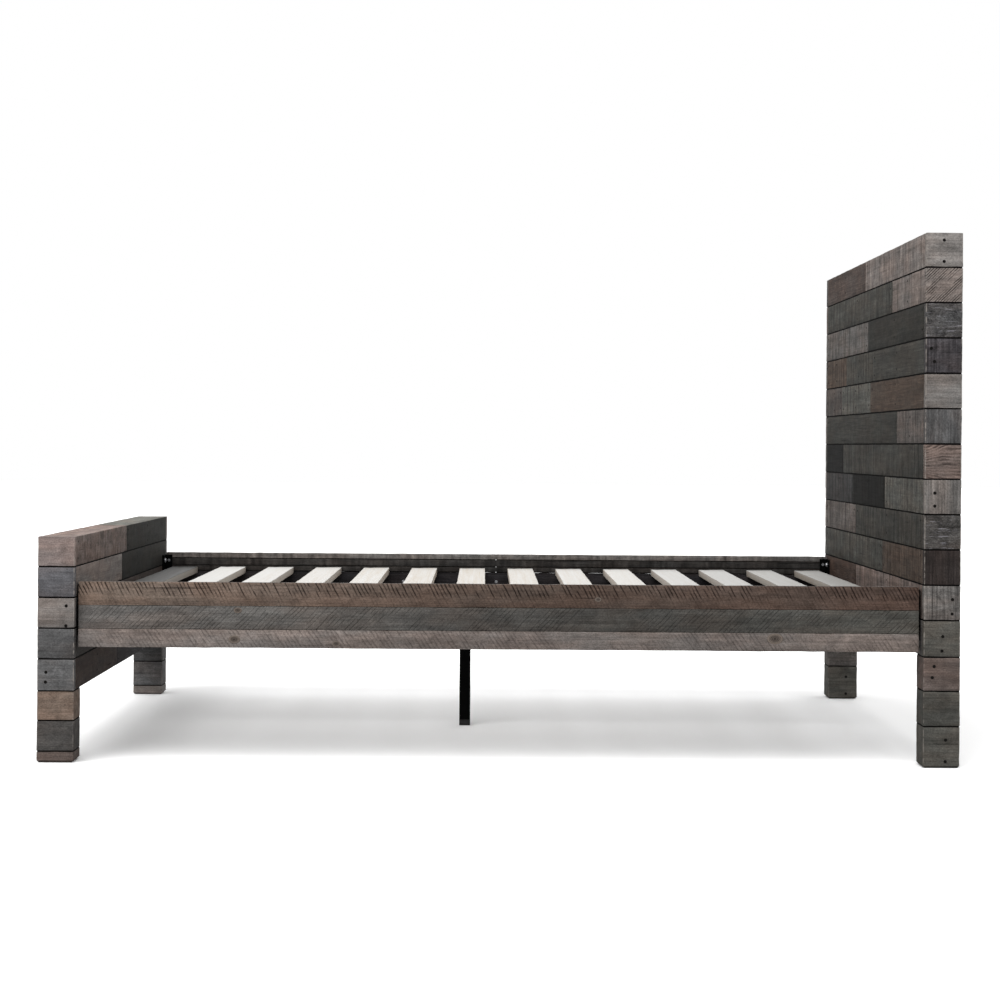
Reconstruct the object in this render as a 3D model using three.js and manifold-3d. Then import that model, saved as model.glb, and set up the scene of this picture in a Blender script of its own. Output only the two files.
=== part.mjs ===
// A queen-size bed frame of stacked reclaimed-pine planks. Millimetres, +Z up.
// +X runs from the foot of the bed to its head, and +Y across it, from the sleeper's left to the sleeper's right.
// The origin lies on the floor, under the middle of the frame.
import * as THREE from 'three';
import { mergeVertices } from 'three/addons/utils/BufferGeometryUtils.js';
import Module from 'manifold-3d';

const wasm = await Module();
wasm.setup();

// ---------------------------------------------------------------- driving dimensions

const FIT_GAP = 0.3; // left between two pieces that touch
const INNER_LENGTH = 2060; // from footboard to headboard, for a mattress 2032 long
const OVERALL_WIDTH = 1645; // over the boards, for a mattress 1524 wide between the rails
const BOARD_THICKNESS = 89; // of the headboard, the footboard and their legs
const TIMBER_EDGE = 1.5; // chamfer along the edges of planks and blocks

const HEADBOARD = { name: 'headboard', height: 1300, courses: 12, coursePitch: 85.8, footChamfer: 7 };
const FOOTBOARD = { name: 'footboard', height: 547, courses: 5, coursePitch: 74.5, footChamfer: 10 };
const POST_SIZE = 45; // square core post that each leg sends up through the courses

const RAIL_THICKNESS = 28;
const RAIL_RECESS = 25; // from the side face of the legs to the outer face of a rail
const RAIL_BOTTOM = 278;
const RAIL_PLANKS = [
  { name: 'bottom', height: 45 },
  { name: 'middle', height: 57 },
  { name: 'top', height: 57 },
];
const RAIL_GAP_AT_FOOT = 5;
const RAIL_GAP_AT_HEAD = 6.5;

const SLAT_COUNT = 14;
const SLAT_PITCH = 148.5;
const SLAT_WIDTH = 78.5;
const SLAT_THICKNESS = 19.5;
const SLAT_UNDERSIDE = 374.3;
const SLAT_END_CLEARANCE = 1.5; // from a slat's end to the rail
const SLAT_EDGE = 2;

const CLEAT_THICKNESS = 25;
const CLEAT_HEIGHT = 40;

const BRACKET_THICKNESS = 4;
const BRACKET_BOTTOM = 304;
const BRACKET_HEIGHT = 126;
const BRACKET_BOARD_FLANGE = 50;
const BRACKET_RAIL_FLANGE = 24;
const BOLT_HEIGHTS = [
  { name: 'lower', z: 340 },
  { name: 'upper', z: 413 },
];
const BOLT_INSET = 24.5; // from the rail's inner face to the axis of the board bolts
const BOLT = { shankRadius: 4, headRadius: 7.5, headHeight: 4.5, length: 40, socketAcross: 5, socketDepth: 2.5 };
const BOLT_CLEARANCE = 0.3;
const RAIL_SCREW_RADIUS = 2.8; // holes in the rail flange

const BEAM_WIDTH = 36; // pressed channel, open side down
const BEAM_HEIGHT = 40;
const BEAM_WALL = 2.5;
const BEAM_PLATE = { width: 76, height: 56, thickness: 4, boltSpacing: 54, boltDrop: 32 };

const CENTRE_LEG_X = -89;
const CENTRE_LEG_SIZE = 30;
const CENTRE_LEG_WALL = 2;
const INSERT_FLANGE = 3;
const INSERT_DEPTH = 22;
const PAD_HEIGHT = 12;
const PAD_FLOOR = 3; // solid bottom of the pad, under the screw
const PAD_CORNER = 3;
const PAD_CLEARANCE = 0.5; // between the pad and the insert with the leveller run right in
const LEVELLER_RADIUS = 5;
const LEVELLER_LENGTH = 56;

const ROUND_SEGMENTS = 24;

// ---------------------------------------------------------------- derived positions

const halfInner = INNER_LENGTH / 2;
const halfWidth = OVERALL_WIDTH / 2;
const boardCentreX = halfInner + BOARD_THICKNESS / 2;
const legCentreY = halfWidth - BOARD_THICKNESS / 2;
const railCentreY = halfWidth - RAIL_RECESS - RAIL_THICKNESS / 2;
const railInnerY = halfWidth - RAIL_RECESS - RAIL_THICKNESS;
const boltY = railInnerY - BOLT_INSET;
const boltHoleDepth = BOLT.length - BRACKET_THICKNESS + 2;
const supportTop = SLAT_UNDERSIDE - FIT_GAP;
const SIDES = [
  { name: 'left', sign: -1 },
  { name: 'right', sign: 1 },
];
const ENDS = [
  { board: HEADBOARD, sign: 1 },
  { board: FOOTBOARD, sign: -1 },
];

// ---------------------------------------------------------------- finishes

const FINISHES = {
  plankGrey: { color: 0x6a655e, roughness: 0.85, metalness: 0 },
  plankBrown: { color: 0x65564c, roughness: 0.85, metalness: 0 },
  plankDark: { color: 0x474547, roughness: 0.85, metalness: 0 },
  slatPine: { color: 0xe6e1d6, roughness: 0.7, metalness: 0 },
  blackSteel: { color: 0x0d0d0e, roughness: 0.5, metalness: 0.6 },
  boltSteel: { color: 0x9a9a9c, roughness: 0.35, metalness: 1 },
  blackPlastic: { color: 0x101011, roughness: 0.6, metalness: 0 },
};

function material(finish) {
  return new THREE.MeshStandardMaterial(FINISHES[finish]);
}

// ---------------------------------------------------------------- shapes

/** Turns a closed geometry into a solid that can be cut and joined. */
function toSolid(geometry) {
  geometry.deleteAttribute('normal');
  geometry.deleteAttribute('uv');
  const merged = mergeVertices(geometry, 1e-3);
  return new wasm.Manifold(new wasm.Mesh({
    numProp: 3,
    vertProperties: new Float32Array(merged.getAttribute('position').array),
    triVerts: new Uint32Array(merged.getIndex().array),
  }));
}

/** Turns a solid back into a geometry. */
function toGeometry(solid) {
  const mesh = solid.getMesh();
  const geometry = new THREE.BufferGeometry();
  geometry.setAttribute('position', new THREE.BufferAttribute(mesh.vertProperties, 3));
  geometry.setIndex(new THREE.BufferAttribute(mesh.triVerts, 1));
  geometry.computeVertexNormals();
  return geometry;
}

function box(sizeX, sizeY, sizeZ, x = 0, y = 0, z = 0) {
  return new THREE.BoxGeometry(sizeX, sizeY, sizeZ).translate(x, y, z);
}

/** A rectangle with its corners cut off at 45 degrees, centred on the origin. */
function chamferedRectangle(width, height, chamfer) {
  const x = width / 2;
  const y = height / 2;
  const shape = new THREE.Shape();
  shape.moveTo(-x + chamfer, -y);
  shape.lineTo(x - chamfer, -y);
  shape.lineTo(x, -y + chamfer);
  shape.lineTo(x, y - chamfer);
  shape.lineTo(x - chamfer, y);
  shape.lineTo(-x + chamfer, y);
  shape.lineTo(-x, y - chamfer);
  shape.lineTo(-x, -y + chamfer);
  shape.closePath();
  return shape;
}

/** A timber along Z, centred on the origin, with all its edges chamfered. */
function timber(sizeX, sizeY, length, chamfer) {
  const geometry = new THREE.ExtrudeGeometry(chamferedRectangle(sizeX, sizeY, chamfer), {
    depth: length - 2 * chamfer,
    bevelThickness: chamfer,
    bevelSize: chamfer,
    bevelOffset: -chamfer,
    bevelSegments: 1,
  });
  return geometry.translate(0, 0, -length / 2 + chamfer);
}

/** A timber along X: sizeY wide and sizeZ high. */
function timberAlongX(length, sizeY, sizeZ, chamfer) {
  return timber(sizeZ, sizeY, length, chamfer).rotateY(Math.PI / 2);
}

/** A timber along Y: sizeX wide and sizeZ high. */
function timberAlongY(sizeX, length, sizeZ, chamfer) {
  return timber(sizeX, sizeZ, length, chamfer).rotateX(Math.PI / 2);
}

/** A round bar along X, centred on the given point. */
function barAlongX(radius, length, x, y, z) {
  return new THREE.CylinderGeometry(radius, radius, length, ROUND_SEGMENTS)
    .rotateZ(Math.PI / 2)
    .translate(x, y, z);
}

/** A prism of the given outline, from z = bottom to z = bottom + height. */
function prism(shape, bottom, height) {
  return new THREE.ExtrudeGeometry(shape, { depth: height, bevelEnabled: false }).translate(0, 0, bottom);
}

function addPiece(parent, name, geometry, finish, x = 0, y = 0, z = 0) {
  const mesh = new THREE.Mesh(geometry, material(finish));
  mesh.name = name;
  mesh.position.set(x, y, z);
  parent.add(mesh);
  return mesh;
}

// ---------------------------------------------------------------- headboard and footboard

/**
 * One course of a board: a timber as wide as the bed, with a pocket for each leg's core post and
 * holes for the bracket bolts at its height. innerSide is +1 or -1, towards the mattress.
 */
function boardCourse(length, height, centreZ, hasPosts, innerSide) {
  let solid = toSolid(timberAlongY(BOARD_THICKNESS, length, height, TIMBER_EDGE));
  for (const side of SIDES) {
    if (hasPosts) {
      const pocket = POST_SIZE + 2 * FIT_GAP;
      solid = solid.subtract(toSolid(box(pocket, pocket, height + 2, 0, side.sign * legCentreY, 0)));
    }
    for (const { z } of BOLT_HEIGHTS) {
      if (Math.abs(z - centreZ) < height / 2) {
        const holeX = innerSide * (BOARD_THICKNESS - boltHoleDepth) / 2;
        const radius = BOLT.shankRadius + BOLT_CLEARANCE;
        const hole = barAlongX(radius, boltHoleDepth + 2, holeX + innerSide, side.sign * boltY, z - centreZ);
        solid = solid.subtract(toSolid(hole));
      }
    }
  }
  return toGeometry(solid);
}

/** A leg with its worn foot, and the slimmer core post that stands on it inside the courses. */
function boardLeg(legHeight, postTop, footChamfer) {
  const bodyTop = legHeight - FIT_GAP;
  const foot = timber(BOARD_THICKNESS, BOARD_THICKNESS, bodyTop, footChamfer)
    .translate(0, 0, bodyTop / 2);
  const shaft = timber(BOARD_THICKNESS, BOARD_THICKNESS, bodyTop - 2 * footChamfer, TIMBER_EDGE)
    .translate(0, 0, bodyTop / 2 + footChamfer);
  const post = box(POST_SIZE, POST_SIZE, postTop - bodyTop + 10, 0, 0, (postTop + bodyTop - 10) / 2);
  return toGeometry(toSolid(foot).add(toSolid(shaft)).add(toSolid(post)));
}

function buildBoard({ name, height, courses, coursePitch, footChamfer }, endSign) {
  const board = new THREE.Group();
  board.position.x = endSign * boardCentreX;
  const finishes = ['plankGrey', 'plankBrown', 'plankDark'];
  const courseHeight = coursePitch - FIT_GAP;
  for (let i = 0; i < courses; i += 1) {
    const centreZ = height - i * coursePitch - courseHeight / 2;
    const geometry = boardCourse(OVERALL_WIDTH, courseHeight, centreZ, i > 0, -endSign);
    const number = String(i + 1).padStart(2, '0');
    addPiece(board, `${name}_course_${number}`, geometry, finishes[i % finishes.length], 0, 0, centreZ);
  }
  const legHeight = height - courses * coursePitch;
  const postTop = height - coursePitch - FIT_GAP;
  for (const side of SIDES) {
    const geometry = boardLeg(legHeight, postTop, footChamfer);
    addPiece(board, `${name}_leg_${side.name}`, geometry, 'plankGrey', 0, side.sign * legCentreY, 0);
  }
  return board;
}

// ---------------------------------------------------------------- side rails, cleats and slats

function buildRail(side) {
  const rail = new THREE.Group();
  rail.position.set((RAIL_GAP_AT_FOOT - RAIL_GAP_AT_HEAD) / 2, side.sign * railCentreY, 0);
  const length = INNER_LENGTH - RAIL_GAP_AT_FOOT - RAIL_GAP_AT_HEAD;
  const finishes = { bottom: 'plankGrey', middle: 'plankGrey', top: 'plankBrown' };
  let bottom = RAIL_BOTTOM;
  for (const plank of RAIL_PLANKS) {
    const height = plank.height - FIT_GAP;
    const geometry = timberAlongX(length, RAIL_THICKNESS, height, TIMBER_EDGE);
    const name = `side_rail_${side.name}_${plank.name}_plank`;
    addPiece(rail, name, geometry, finishes[plank.name], 0, 0, bottom + FIT_GAP + height / 2);
    bottom += plank.height;
  }
  return rail;
}

function buildCleat(side) {
  const halfLength = halfInner - FIT_GAP - BRACKET_RAIL_FLANGE - FIT_GAP - 1;
  const geometry = timberAlongX(2 * halfLength, CLEAT_THICKNESS, CLEAT_HEIGHT, SLAT_EDGE);
  const cleat = new THREE.Group();
  const y = side.sign * (railInnerY - FIT_GAP - CLEAT_THICKNESS / 2);
  addPiece(cleat, `slat_cleat_${side.name}`, geometry, 'plankDark', 0, y, supportTop - CLEAT_HEIGHT / 2);
  return cleat;
}

function buildSlats() {
  const slats = new THREE.Group();
  slats.position.z = SLAT_UNDERSIDE + SLAT_THICKNESS / 2;
  const length = 2 * (railInnerY - SLAT_END_CLEARANCE);
  for (let i = 0; i < SLAT_COUNT; i += 1) {
    const geometry = timberAlongY(SLAT_WIDTH, length, SLAT_THICKNESS, SLAT_EDGE);
    const x = (i - (SLAT_COUNT - 1) / 2) * SLAT_PITCH;
    addPiece(slats, `slat_${String(i + 1).padStart(2, '0')}`, geometry, 'slatPine', x, 0, 0);
  }
  return slats;
}

// ---------------------------------------------------------------- corner brackets and bolts

/** An angle whose outer corner is at the origin: one flange runs towards y, the other towards x. */
function bracketOutline(xSign, ySign) {
  const points = [
    [0, 0],
    [BRACKET_RAIL_FLANGE, 0],
    [BRACKET_RAIL_FLANGE, BRACKET_THICKNESS],
    [BRACKET_THICKNESS, BRACKET_THICKNESS],
    [BRACKET_THICKNESS, BRACKET_BOARD_FLANGE],
    [0, BRACKET_BOARD_FLANGE],
  ];
  return new THREE.Shape(points.map(([x, y]) => new THREE.Vector2(-xSign * x, -ySign * y)));
}

/** The bracket in the corner of a board and a rail, with its bolt and screw holes. */
function bracketGeometry(xSign, ySign) {
  let solid = toSolid(prism(bracketOutline(xSign, ySign), BRACKET_BOTTOM, BRACKET_HEIGHT));
  for (const { z } of BOLT_HEIGHTS) {
    const boltHole = barAlongX(
      BOLT.shankRadius + BOLT_CLEARANCE,
      3 * BRACKET_THICKNESS,
      0,
      -ySign * (BOLT_INSET - FIT_GAP),
      z,
    );
    const screwHole = new THREE.CylinderGeometry(
      RAIL_SCREW_RADIUS,
      RAIL_SCREW_RADIUS,
      3 * BRACKET_THICKNESS,
      ROUND_SEGMENTS,
    ).translate(-xSign * (BRACKET_RAIL_FLANGE + BRACKET_THICKNESS) / 2, 0, z);
    solid = solid.subtract(toSolid(boltHole)).subtract(toSolid(screwHole));
  }
  return toGeometry(solid);
}

/** A button-head bolt along -X: its head's bearing face is at x = 0 and its head stands out to +X. */
function boltGeometry() {
  const { shankRadius, headRadius, headHeight, length, socketAcross, socketDepth } = BOLT;
  const profile = [
    [0, -length],
    [shankRadius - 1, -length],
    [shankRadius, -length + 1],
    [shankRadius, 0],
    [headRadius, 0],
    [headRadius, headHeight * 0.35],
    [headRadius * 0.86, headHeight * 0.75],
    [headRadius * 0.6, headHeight],
    [0, headHeight],
  ].map(([r, y]) => new THREE.Vector2(r, y));
  const body = new THREE.LatheGeometry(profile, ROUND_SEGMENTS);
  const socketRadius = socketAcross / Math.sqrt(3);
  const socket = new THREE.CylinderGeometry(socketRadius, socketRadius, 2 * socketDepth, 6)
    .translate(0, headHeight, 0);
  return toGeometry(toSolid(body).subtract(toSolid(socket))).rotateZ(-Math.PI / 2);
}

function buildCorners() {
  const corners = new THREE.Group();
  for (const end of ENDS) {
    for (const side of SIDES) {
      const x = end.sign * (halfInner - FIT_GAP);
      const y = side.sign * (railInnerY - FIT_GAP);
      const place = `${end.board.name}_${side.name}`;
      addPiece(corners, `corner_bracket_${place}`, bracketGeometry(end.sign, side.sign), 'blackSteel', x, y, 0);
      for (const { name, z } of BOLT_HEIGHTS) {
        const headX = end.sign * (halfInner - 2 * FIT_GAP - BRACKET_THICKNESS);
        const boltName = `corner_bolt_${place}_${name}`;
        const bolt = addPiece(corners, boltName, boltGeometry(), 'boltSteel', headX, side.sign * boltY, z);
        bolt.rotation.z = end.sign > 0 ? Math.PI : 0;
      }
    }
  }
  return corners;
}

// ---------------------------------------------------------------- centre beam, leg and leveller

/** The channel under the slats, with an upright plate on each end for the bolts into the boards. */
function beamGeometry() {
  const outer = BEAM_WIDTH / 2;
  const inner = outer - BEAM_WALL;
  const points = [
    [-outer, -BEAM_HEIGHT],
    [-inner, -BEAM_HEIGHT],
    [-inner, -BEAM_WALL],
    [inner, -BEAM_WALL],
    [inner, -BEAM_HEIGHT],
    [outer, -BEAM_HEIGHT],
    [outer, 0],
    [-outer, 0],
  ];
  const length = 2 * (halfInner - FIT_GAP) - BEAM_PLATE.thickness;
  const section = new THREE.Shape(points.map(([y, z]) => new THREE.Vector2(y, z)));
  // The outline is drawn in XY and stands up along X once it is turned.
  const channel = prism(section, -length / 2, length).rotateX(Math.PI / 2).rotateZ(Math.PI / 2);
  let solid = toSolid(channel);
  for (const end of ENDS) {
    const x = end.sign * (halfInner - FIT_GAP - BEAM_PLATE.thickness / 2);
    const plate = box(BEAM_PLATE.thickness, BEAM_PLATE.width, BEAM_PLATE.height, x, 0, -BEAM_PLATE.height / 2);
    solid = solid.add(toSolid(plate));
    for (const side of SIDES) {
      const holeY = side.sign * BEAM_PLATE.boltSpacing / 2;
      const hole = barAlongX(BOLT.shankRadius + BOLT_CLEARANCE, 20, x, holeY, -BEAM_PLATE.boltDrop);
      solid = solid.subtract(toSolid(hole));
    }
  }
  return toGeometry(solid);
}

function squareOutline(size) {
  const half = size / 2;
  const corners = [[-half, -half], [half, -half], [half, half], [-half, half]];
  return corners.map(([x, y]) => new THREE.Vector2(x, y));
}

function tubeGeometry(bottom, top) {
  const outline = new THREE.Shape(squareOutline(CENTRE_LEG_SIZE));
  outline.holes.push(new THREE.Path(squareOutline(CENTRE_LEG_SIZE - 2 * CENTRE_LEG_WALL)));
  return prism(outline, bottom, top - bottom);
}

/** The plug in the tube's end, with the leveller's threaded hole through it. */
function insertGeometry(bottom) {
  const plugSize = CENTRE_LEG_SIZE - 2 * CENTRE_LEG_WALL - 2 * FIT_GAP;
  const flange = box(CENTRE_LEG_SIZE, CENTRE_LEG_SIZE, INSERT_FLANGE, 0, 0, bottom + INSERT_FLANGE / 2);
  const plug = box(plugSize, plugSize, INSERT_DEPTH, 0, 0, bottom + INSERT_DEPTH / 2);
  const hole = new THREE.CylinderGeometry(
    LEVELLER_RADIUS + FIT_GAP,
    LEVELLER_RADIUS + FIT_GAP,
    4 * INSERT_DEPTH,
    ROUND_SEGMENTS,
  ).rotateX(Math.PI / 2);
  return toGeometry(toSolid(flange).add(toSolid(plug)).subtract(toSolid(hole)));
}

/** The pad, with a blind socket in its top for the foot of the screw. */
function padGeometry() {
  const outline = chamferedRectangle(CENTRE_LEG_SIZE, CENTRE_LEG_SIZE, PAD_CORNER);
  const socketRadius = LEVELLER_RADIUS + FIT_GAP;
  const socket = new THREE.CylinderGeometry(socketRadius, socketRadius, PAD_HEIGHT, ROUND_SEGMENTS)
    .rotateX(Math.PI / 2)
    .translate(0, 0, PAD_HEIGHT / 2 + PAD_FLOOR);
  return toGeometry(toSolid(prism(outline, 0, PAD_HEIGHT)).subtract(toSolid(socket)));
}

function levellerScrewGeometry() {
  const chamfer = 1;
  const profile = [
    [0, 0],
    [LEVELLER_RADIUS - chamfer, 0],
    [LEVELLER_RADIUS, chamfer],
    [LEVELLER_RADIUS, LEVELLER_LENGTH - chamfer],
    [LEVELLER_RADIUS - chamfer, LEVELLER_LENGTH],
    [0, LEVELLER_LENGTH],
  ].map(([r, y]) => new THREE.Vector2(r, y));
  return new THREE.LatheGeometry(profile, ROUND_SEGMENTS).rotateX(Math.PI / 2);
}

function buildCentreSupport() {
  const support = new THREE.Group();
  addPiece(support, 'centre_beam', beamGeometry(), 'blackSteel', 0, 0, supportTop);

  const leg = new THREE.Group();
  leg.position.x = CENTRE_LEG_X;
  const insertBottom = PAD_HEIGHT + PAD_CLEARANCE;
  const tubeBottom = insertBottom + INSERT_FLANGE + FIT_GAP;
  const tubeTop = supportTop - BEAM_WALL - FIT_GAP;
  addPiece(leg, 'centre_leg_tube', tubeGeometry(tubeBottom, tubeTop), 'blackSteel');
  addPiece(leg, 'centre_leg_insert', insertGeometry(insertBottom), 'blackPlastic');
  addPiece(leg, 'leveller_pad', padGeometry(), 'blackPlastic');
  addPiece(leg, 'leveller_screw', levellerScrewGeometry(), 'boltSteel', 0, 0, PAD_FLOOR + FIT_GAP);
  support.add(leg);
  return support;
}

// ---------------------------------------------------------------- the whole frame

const bedFrame = new THREE.Group();
bedFrame.name = 'bed_frame';
for (const end of ENDS) {
  bedFrame.add(buildBoard(end.board, end.sign));
}
for (const side of SIDES) {
  bedFrame.add(buildRail(side), buildCleat(side));
}
bedFrame.add(buildSlats(), buildCorners(), buildCentreSupport());

export default bedFrame;
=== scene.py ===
"""Looks for a queen-size bed frame of stacked reclaimed-pine planks.

Metres, +Z up. +X runs from the foot of the bed to its head, +Y from the sleeper's left to the right.
Each stacked course, rail and slat is built as the separate timbers that it is made of, in the place of its
solid in the frame. Small steel pieces keep their solids or get finer ones.
"""

import logging
import math
import random
from collections.abc import Callable
from dataclasses import dataclass, field
from enum import Enum
from typing import Union

import bmesh
import bpy
from mathutils import Matrix, Vector


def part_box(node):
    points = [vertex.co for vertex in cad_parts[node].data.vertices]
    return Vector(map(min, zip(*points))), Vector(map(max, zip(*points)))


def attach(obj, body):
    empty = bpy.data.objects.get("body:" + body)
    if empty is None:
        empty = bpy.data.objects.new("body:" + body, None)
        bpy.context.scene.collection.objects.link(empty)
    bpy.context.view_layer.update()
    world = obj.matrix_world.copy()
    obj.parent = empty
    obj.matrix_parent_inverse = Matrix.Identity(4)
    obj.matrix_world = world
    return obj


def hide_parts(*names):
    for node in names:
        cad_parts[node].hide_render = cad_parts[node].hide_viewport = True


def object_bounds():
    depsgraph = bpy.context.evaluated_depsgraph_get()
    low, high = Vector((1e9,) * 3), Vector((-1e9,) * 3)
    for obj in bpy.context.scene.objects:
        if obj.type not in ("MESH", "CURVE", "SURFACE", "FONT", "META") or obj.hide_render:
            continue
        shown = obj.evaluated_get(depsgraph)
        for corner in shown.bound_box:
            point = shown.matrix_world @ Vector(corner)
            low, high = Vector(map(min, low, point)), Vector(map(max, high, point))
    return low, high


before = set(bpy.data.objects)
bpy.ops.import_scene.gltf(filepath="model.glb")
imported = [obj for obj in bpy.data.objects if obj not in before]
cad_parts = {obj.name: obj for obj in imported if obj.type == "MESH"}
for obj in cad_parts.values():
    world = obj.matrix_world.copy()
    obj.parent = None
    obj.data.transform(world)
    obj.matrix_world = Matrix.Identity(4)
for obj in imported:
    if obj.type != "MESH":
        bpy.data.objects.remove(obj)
CAD_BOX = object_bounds()

log = logging.getLogger("bed_frame")

MM = 0.001
COURSE_GAP = 3.3 * MM
JOINT_GAP = 0.5 * MM
BUTT_GAP = 1.2 * MM
END_BLOCK = 22.0 * MM
BLOCK_EDGE = 1.2 * MM
CLOSE = 0.01 * MM
FACES_UP = 0.9
AXES = {"x": 0, "y": 1, "z": 2}

Triple = tuple[float, float, float]
Socket = bpy.types.NodeSocket
Source = Union[bpy.types.NodeSocket, float, tuple]
Piece = bpy.types.Object


class Tone(Enum):
    """Display colours of the reclaimed timbers, as red, green and blue from 0 to 1."""

    ROSE_ASH = (0.525, 0.475, 0.460)
    PALE_ASH = (0.498, 0.475, 0.462)
    WARM_ASH = (0.455, 0.425, 0.410)
    STONE = (0.400, 0.384, 0.374)
    UMBER = (0.404, 0.360, 0.342)
    TAN = (0.470, 0.412, 0.373)
    BLUE_SLATE = (0.384, 0.377, 0.388)
    SLATE = (0.318, 0.312, 0.312)
    OLIVE_SLATE = (0.318, 0.312, 0.296)
    RUSSET = (0.370, 0.308, 0.280)
    CHARCOAL = (0.258, 0.245, 0.252)
    SOOT = (0.204, 0.182, 0.176)


class Surface(Enum):
    """How the face of a timber was left."""

    PLANED = "planed"
    SAWN_BACK = "sawn_back"
    SAWN_FORWARD = "sawn_forward"
    SAWN_LOW = "sawn_low"
    HATCHED = "hatched"
    RIBBED = "ribbed"
    BANDED = "banded"
    STREAKED = "streaked"
    FIGURED = "figured"
    SCRATCHED = "scratched"


class Slot(Enum):
    """Material slots."""

    GREY = "plank_grey"
    BROWN = "plank_brown"
    DARK = "plank_dark"
    SLAT = "slat_pine"
    STEEL = "black_steel"
    BOLT = "bolt_steel"
    PLASTIC = "black_plastic"


def to_linear(colour: Triple) -> Triple:
    """Turn a display colour into the linear one that shaders use.

    Args:
        colour: red, green and blue as displayed, 0 to 1.

    Returns:
        The same colour, linear.
    """
    return tuple(c / 12.92 if c <= 0.04045 else ((c + 0.055) / 1.055) ** 2.4 for c in colour)


# ---------------------------------------------------------------- modelling tools


def deselect_all() -> None:
    """Leave nothing selected, as an operator acts on all that is."""
    bpy.ops.object.select_all(action="DESELECT")


def activate(piece: Piece) -> None:
    """Select one piece alone and make it the active one.

    Args:
        piece: the piece.
    """
    deselect_all()
    piece.select_set(True)
    bpy.context.view_layer.objects.active = piece


def apply_modifiers(piece: Piece) -> None:
    """Apply every modifier of a piece, in order.

    Args:
        piece: the piece.
    """
    activate(piece)
    for modifier in list(piece.modifiers):
        bpy.ops.object.modifier_apply(modifier=modifier.name)


def select_edges(piece: Piece, chosen: Callable[[bmesh.types.BMEdge], bool]) -> None:
    """In edit mode, select just the edges that pass a test.

    Args:
        piece: the object in edit mode.
        chosen: a test of one bmesh edge.
    """
    bpy.ops.mesh.select_mode(type="EDGE")
    mesh = bmesh.from_edit_mesh(piece.data)
    for edge in mesh.edges:
        edge.select_set(False)
    for edge in filter(chosen, mesh.edges):
        edge.select_set(True)
    bmesh.update_edit_mesh(piece.data)


def select_faces(piece: Piece, chosen: Callable[[bmesh.types.BMFace], bool]) -> None:
    """In edit mode, select just the faces that pass a test.

    Args:
        piece: the object in edit mode.
        chosen: a test of one bmesh face.
    """
    bpy.ops.mesh.select_mode(type="FACE")
    mesh = bmesh.from_edit_mesh(piece.data)
    for face in mesh.faces:
        face.select_set(False)
    for face in filter(chosen, mesh.faces):
        face.select_set(True)
    bmesh.update_edit_mesh(piece.data)


def faces_up(face: bmesh.types.BMFace) -> bool:
    """Whether a face points up."""
    return face.normal.z > FACES_UP


def faces_down(face: bmesh.types.BMFace) -> bool:
    """Whether a face points down."""
    return face.normal.z < -FACES_UP


def extrude(height: float) -> None:
    """In edit mode, pull the selected faces up, or push them down."""
    bpy.ops.mesh.extrude_region_move(TRANSFORM_OT_translate={"value": (0, 0, height)})


def add_block(low: Vector, high: Vector) -> Piece:
    """Start a piece as a box, with its place in its mesh.

    Args:
        low: the box's lowest corner.
        high: its highest corner.

    Returns:
        The piece.
    """
    bpy.ops.mesh.primitive_cube_add(size=1.0, location=(low + high) / 2, scale=high - low)
    bpy.ops.object.transform_apply(location=True, rotation=False, scale=True)
    return bpy.context.view_layer.objects.active


def add_rod(sides: int, radius: float, length: float, centre: Vector) -> Piece:
    """Start a piece as an upright rod, with its place in its mesh.

    Args:
        sides: how many sides it has.
        radius: its radius.
        length: its length.
        centre: its middle.

    Returns:
        The piece.
    """
    bpy.ops.mesh.primitive_cylinder_add(vertices=sides, radius=radius, depth=length, location=centre)
    bpy.ops.object.transform_apply(location=True, rotation=False, scale=False)
    return bpy.context.view_layer.objects.active


def turned_to(out: Vector) -> Matrix:
    """Work out the turn from straight up to a direction."""
    return Vector((0, 0, 1)).rotation_difference(out).to_matrix().to_4x4()


def join(pieces: list[Piece], name: str) -> Piece:
    """Join pieces into one object.

    Args:
        pieces: the objects, the first of which stays.
        name: the joined piece's name.

    Returns:
        The joined piece.
    """
    deselect_all()
    for piece in pieces:
        piece.select_set(True)
    bpy.context.view_layer.objects.active = pieces[0]
    if len(pieces) > 1:
        bpy.ops.object.join()
    joined = bpy.context.view_layer.objects.active
    joined.name = name
    joined.data.name = name
    return joined


def smooth(piece: Piece, degrees: float = 35.0) -> None:
    """Shade a piece smooth across its softer edges."""
    activate(piece)
    bpy.ops.object.shade_smooth_by_angle(angle=math.radians(degrees))


def place_copy(master: Piece, matrix: Matrix, name: str) -> Piece:
    """Copy a piece with a mesh of its own, moved by a matrix that goes into the mesh.

    Args:
        master: the piece to copy.
        matrix: where the copy goes.
        name: the copy's name.

    Returns:
        The copy.
    """
    copy = master.copy()
    copy.data = master.data.copy()
    copy.data.transform(matrix)
    copy.name = name
    copy.data.name = name
    bpy.context.scene.collection.objects.link(copy)
    return copy


def discard(piece: Piece) -> None:
    """Delete a master piece once its copies are made."""
    bpy.data.objects.remove(piece)


def finish_piece(piece: Piece, body: str, slot: Slot, *nodes: str) -> Piece:
    """Hand a piece to the frame: its body and the solids it stands for.

    Args:
        piece: the finished piece.
        body: the body it rides on.
        slot: not used.
        nodes: the solids that it replaces.

    Returns:
        The piece.
    """
    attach(piece, body)
    if nodes:
        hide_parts(*nodes)
    log.info("%s: %d faces", piece.name, len(piece.data.polygons))
    return piece


# ---------------------------------------------------------------- shader tools


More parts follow.
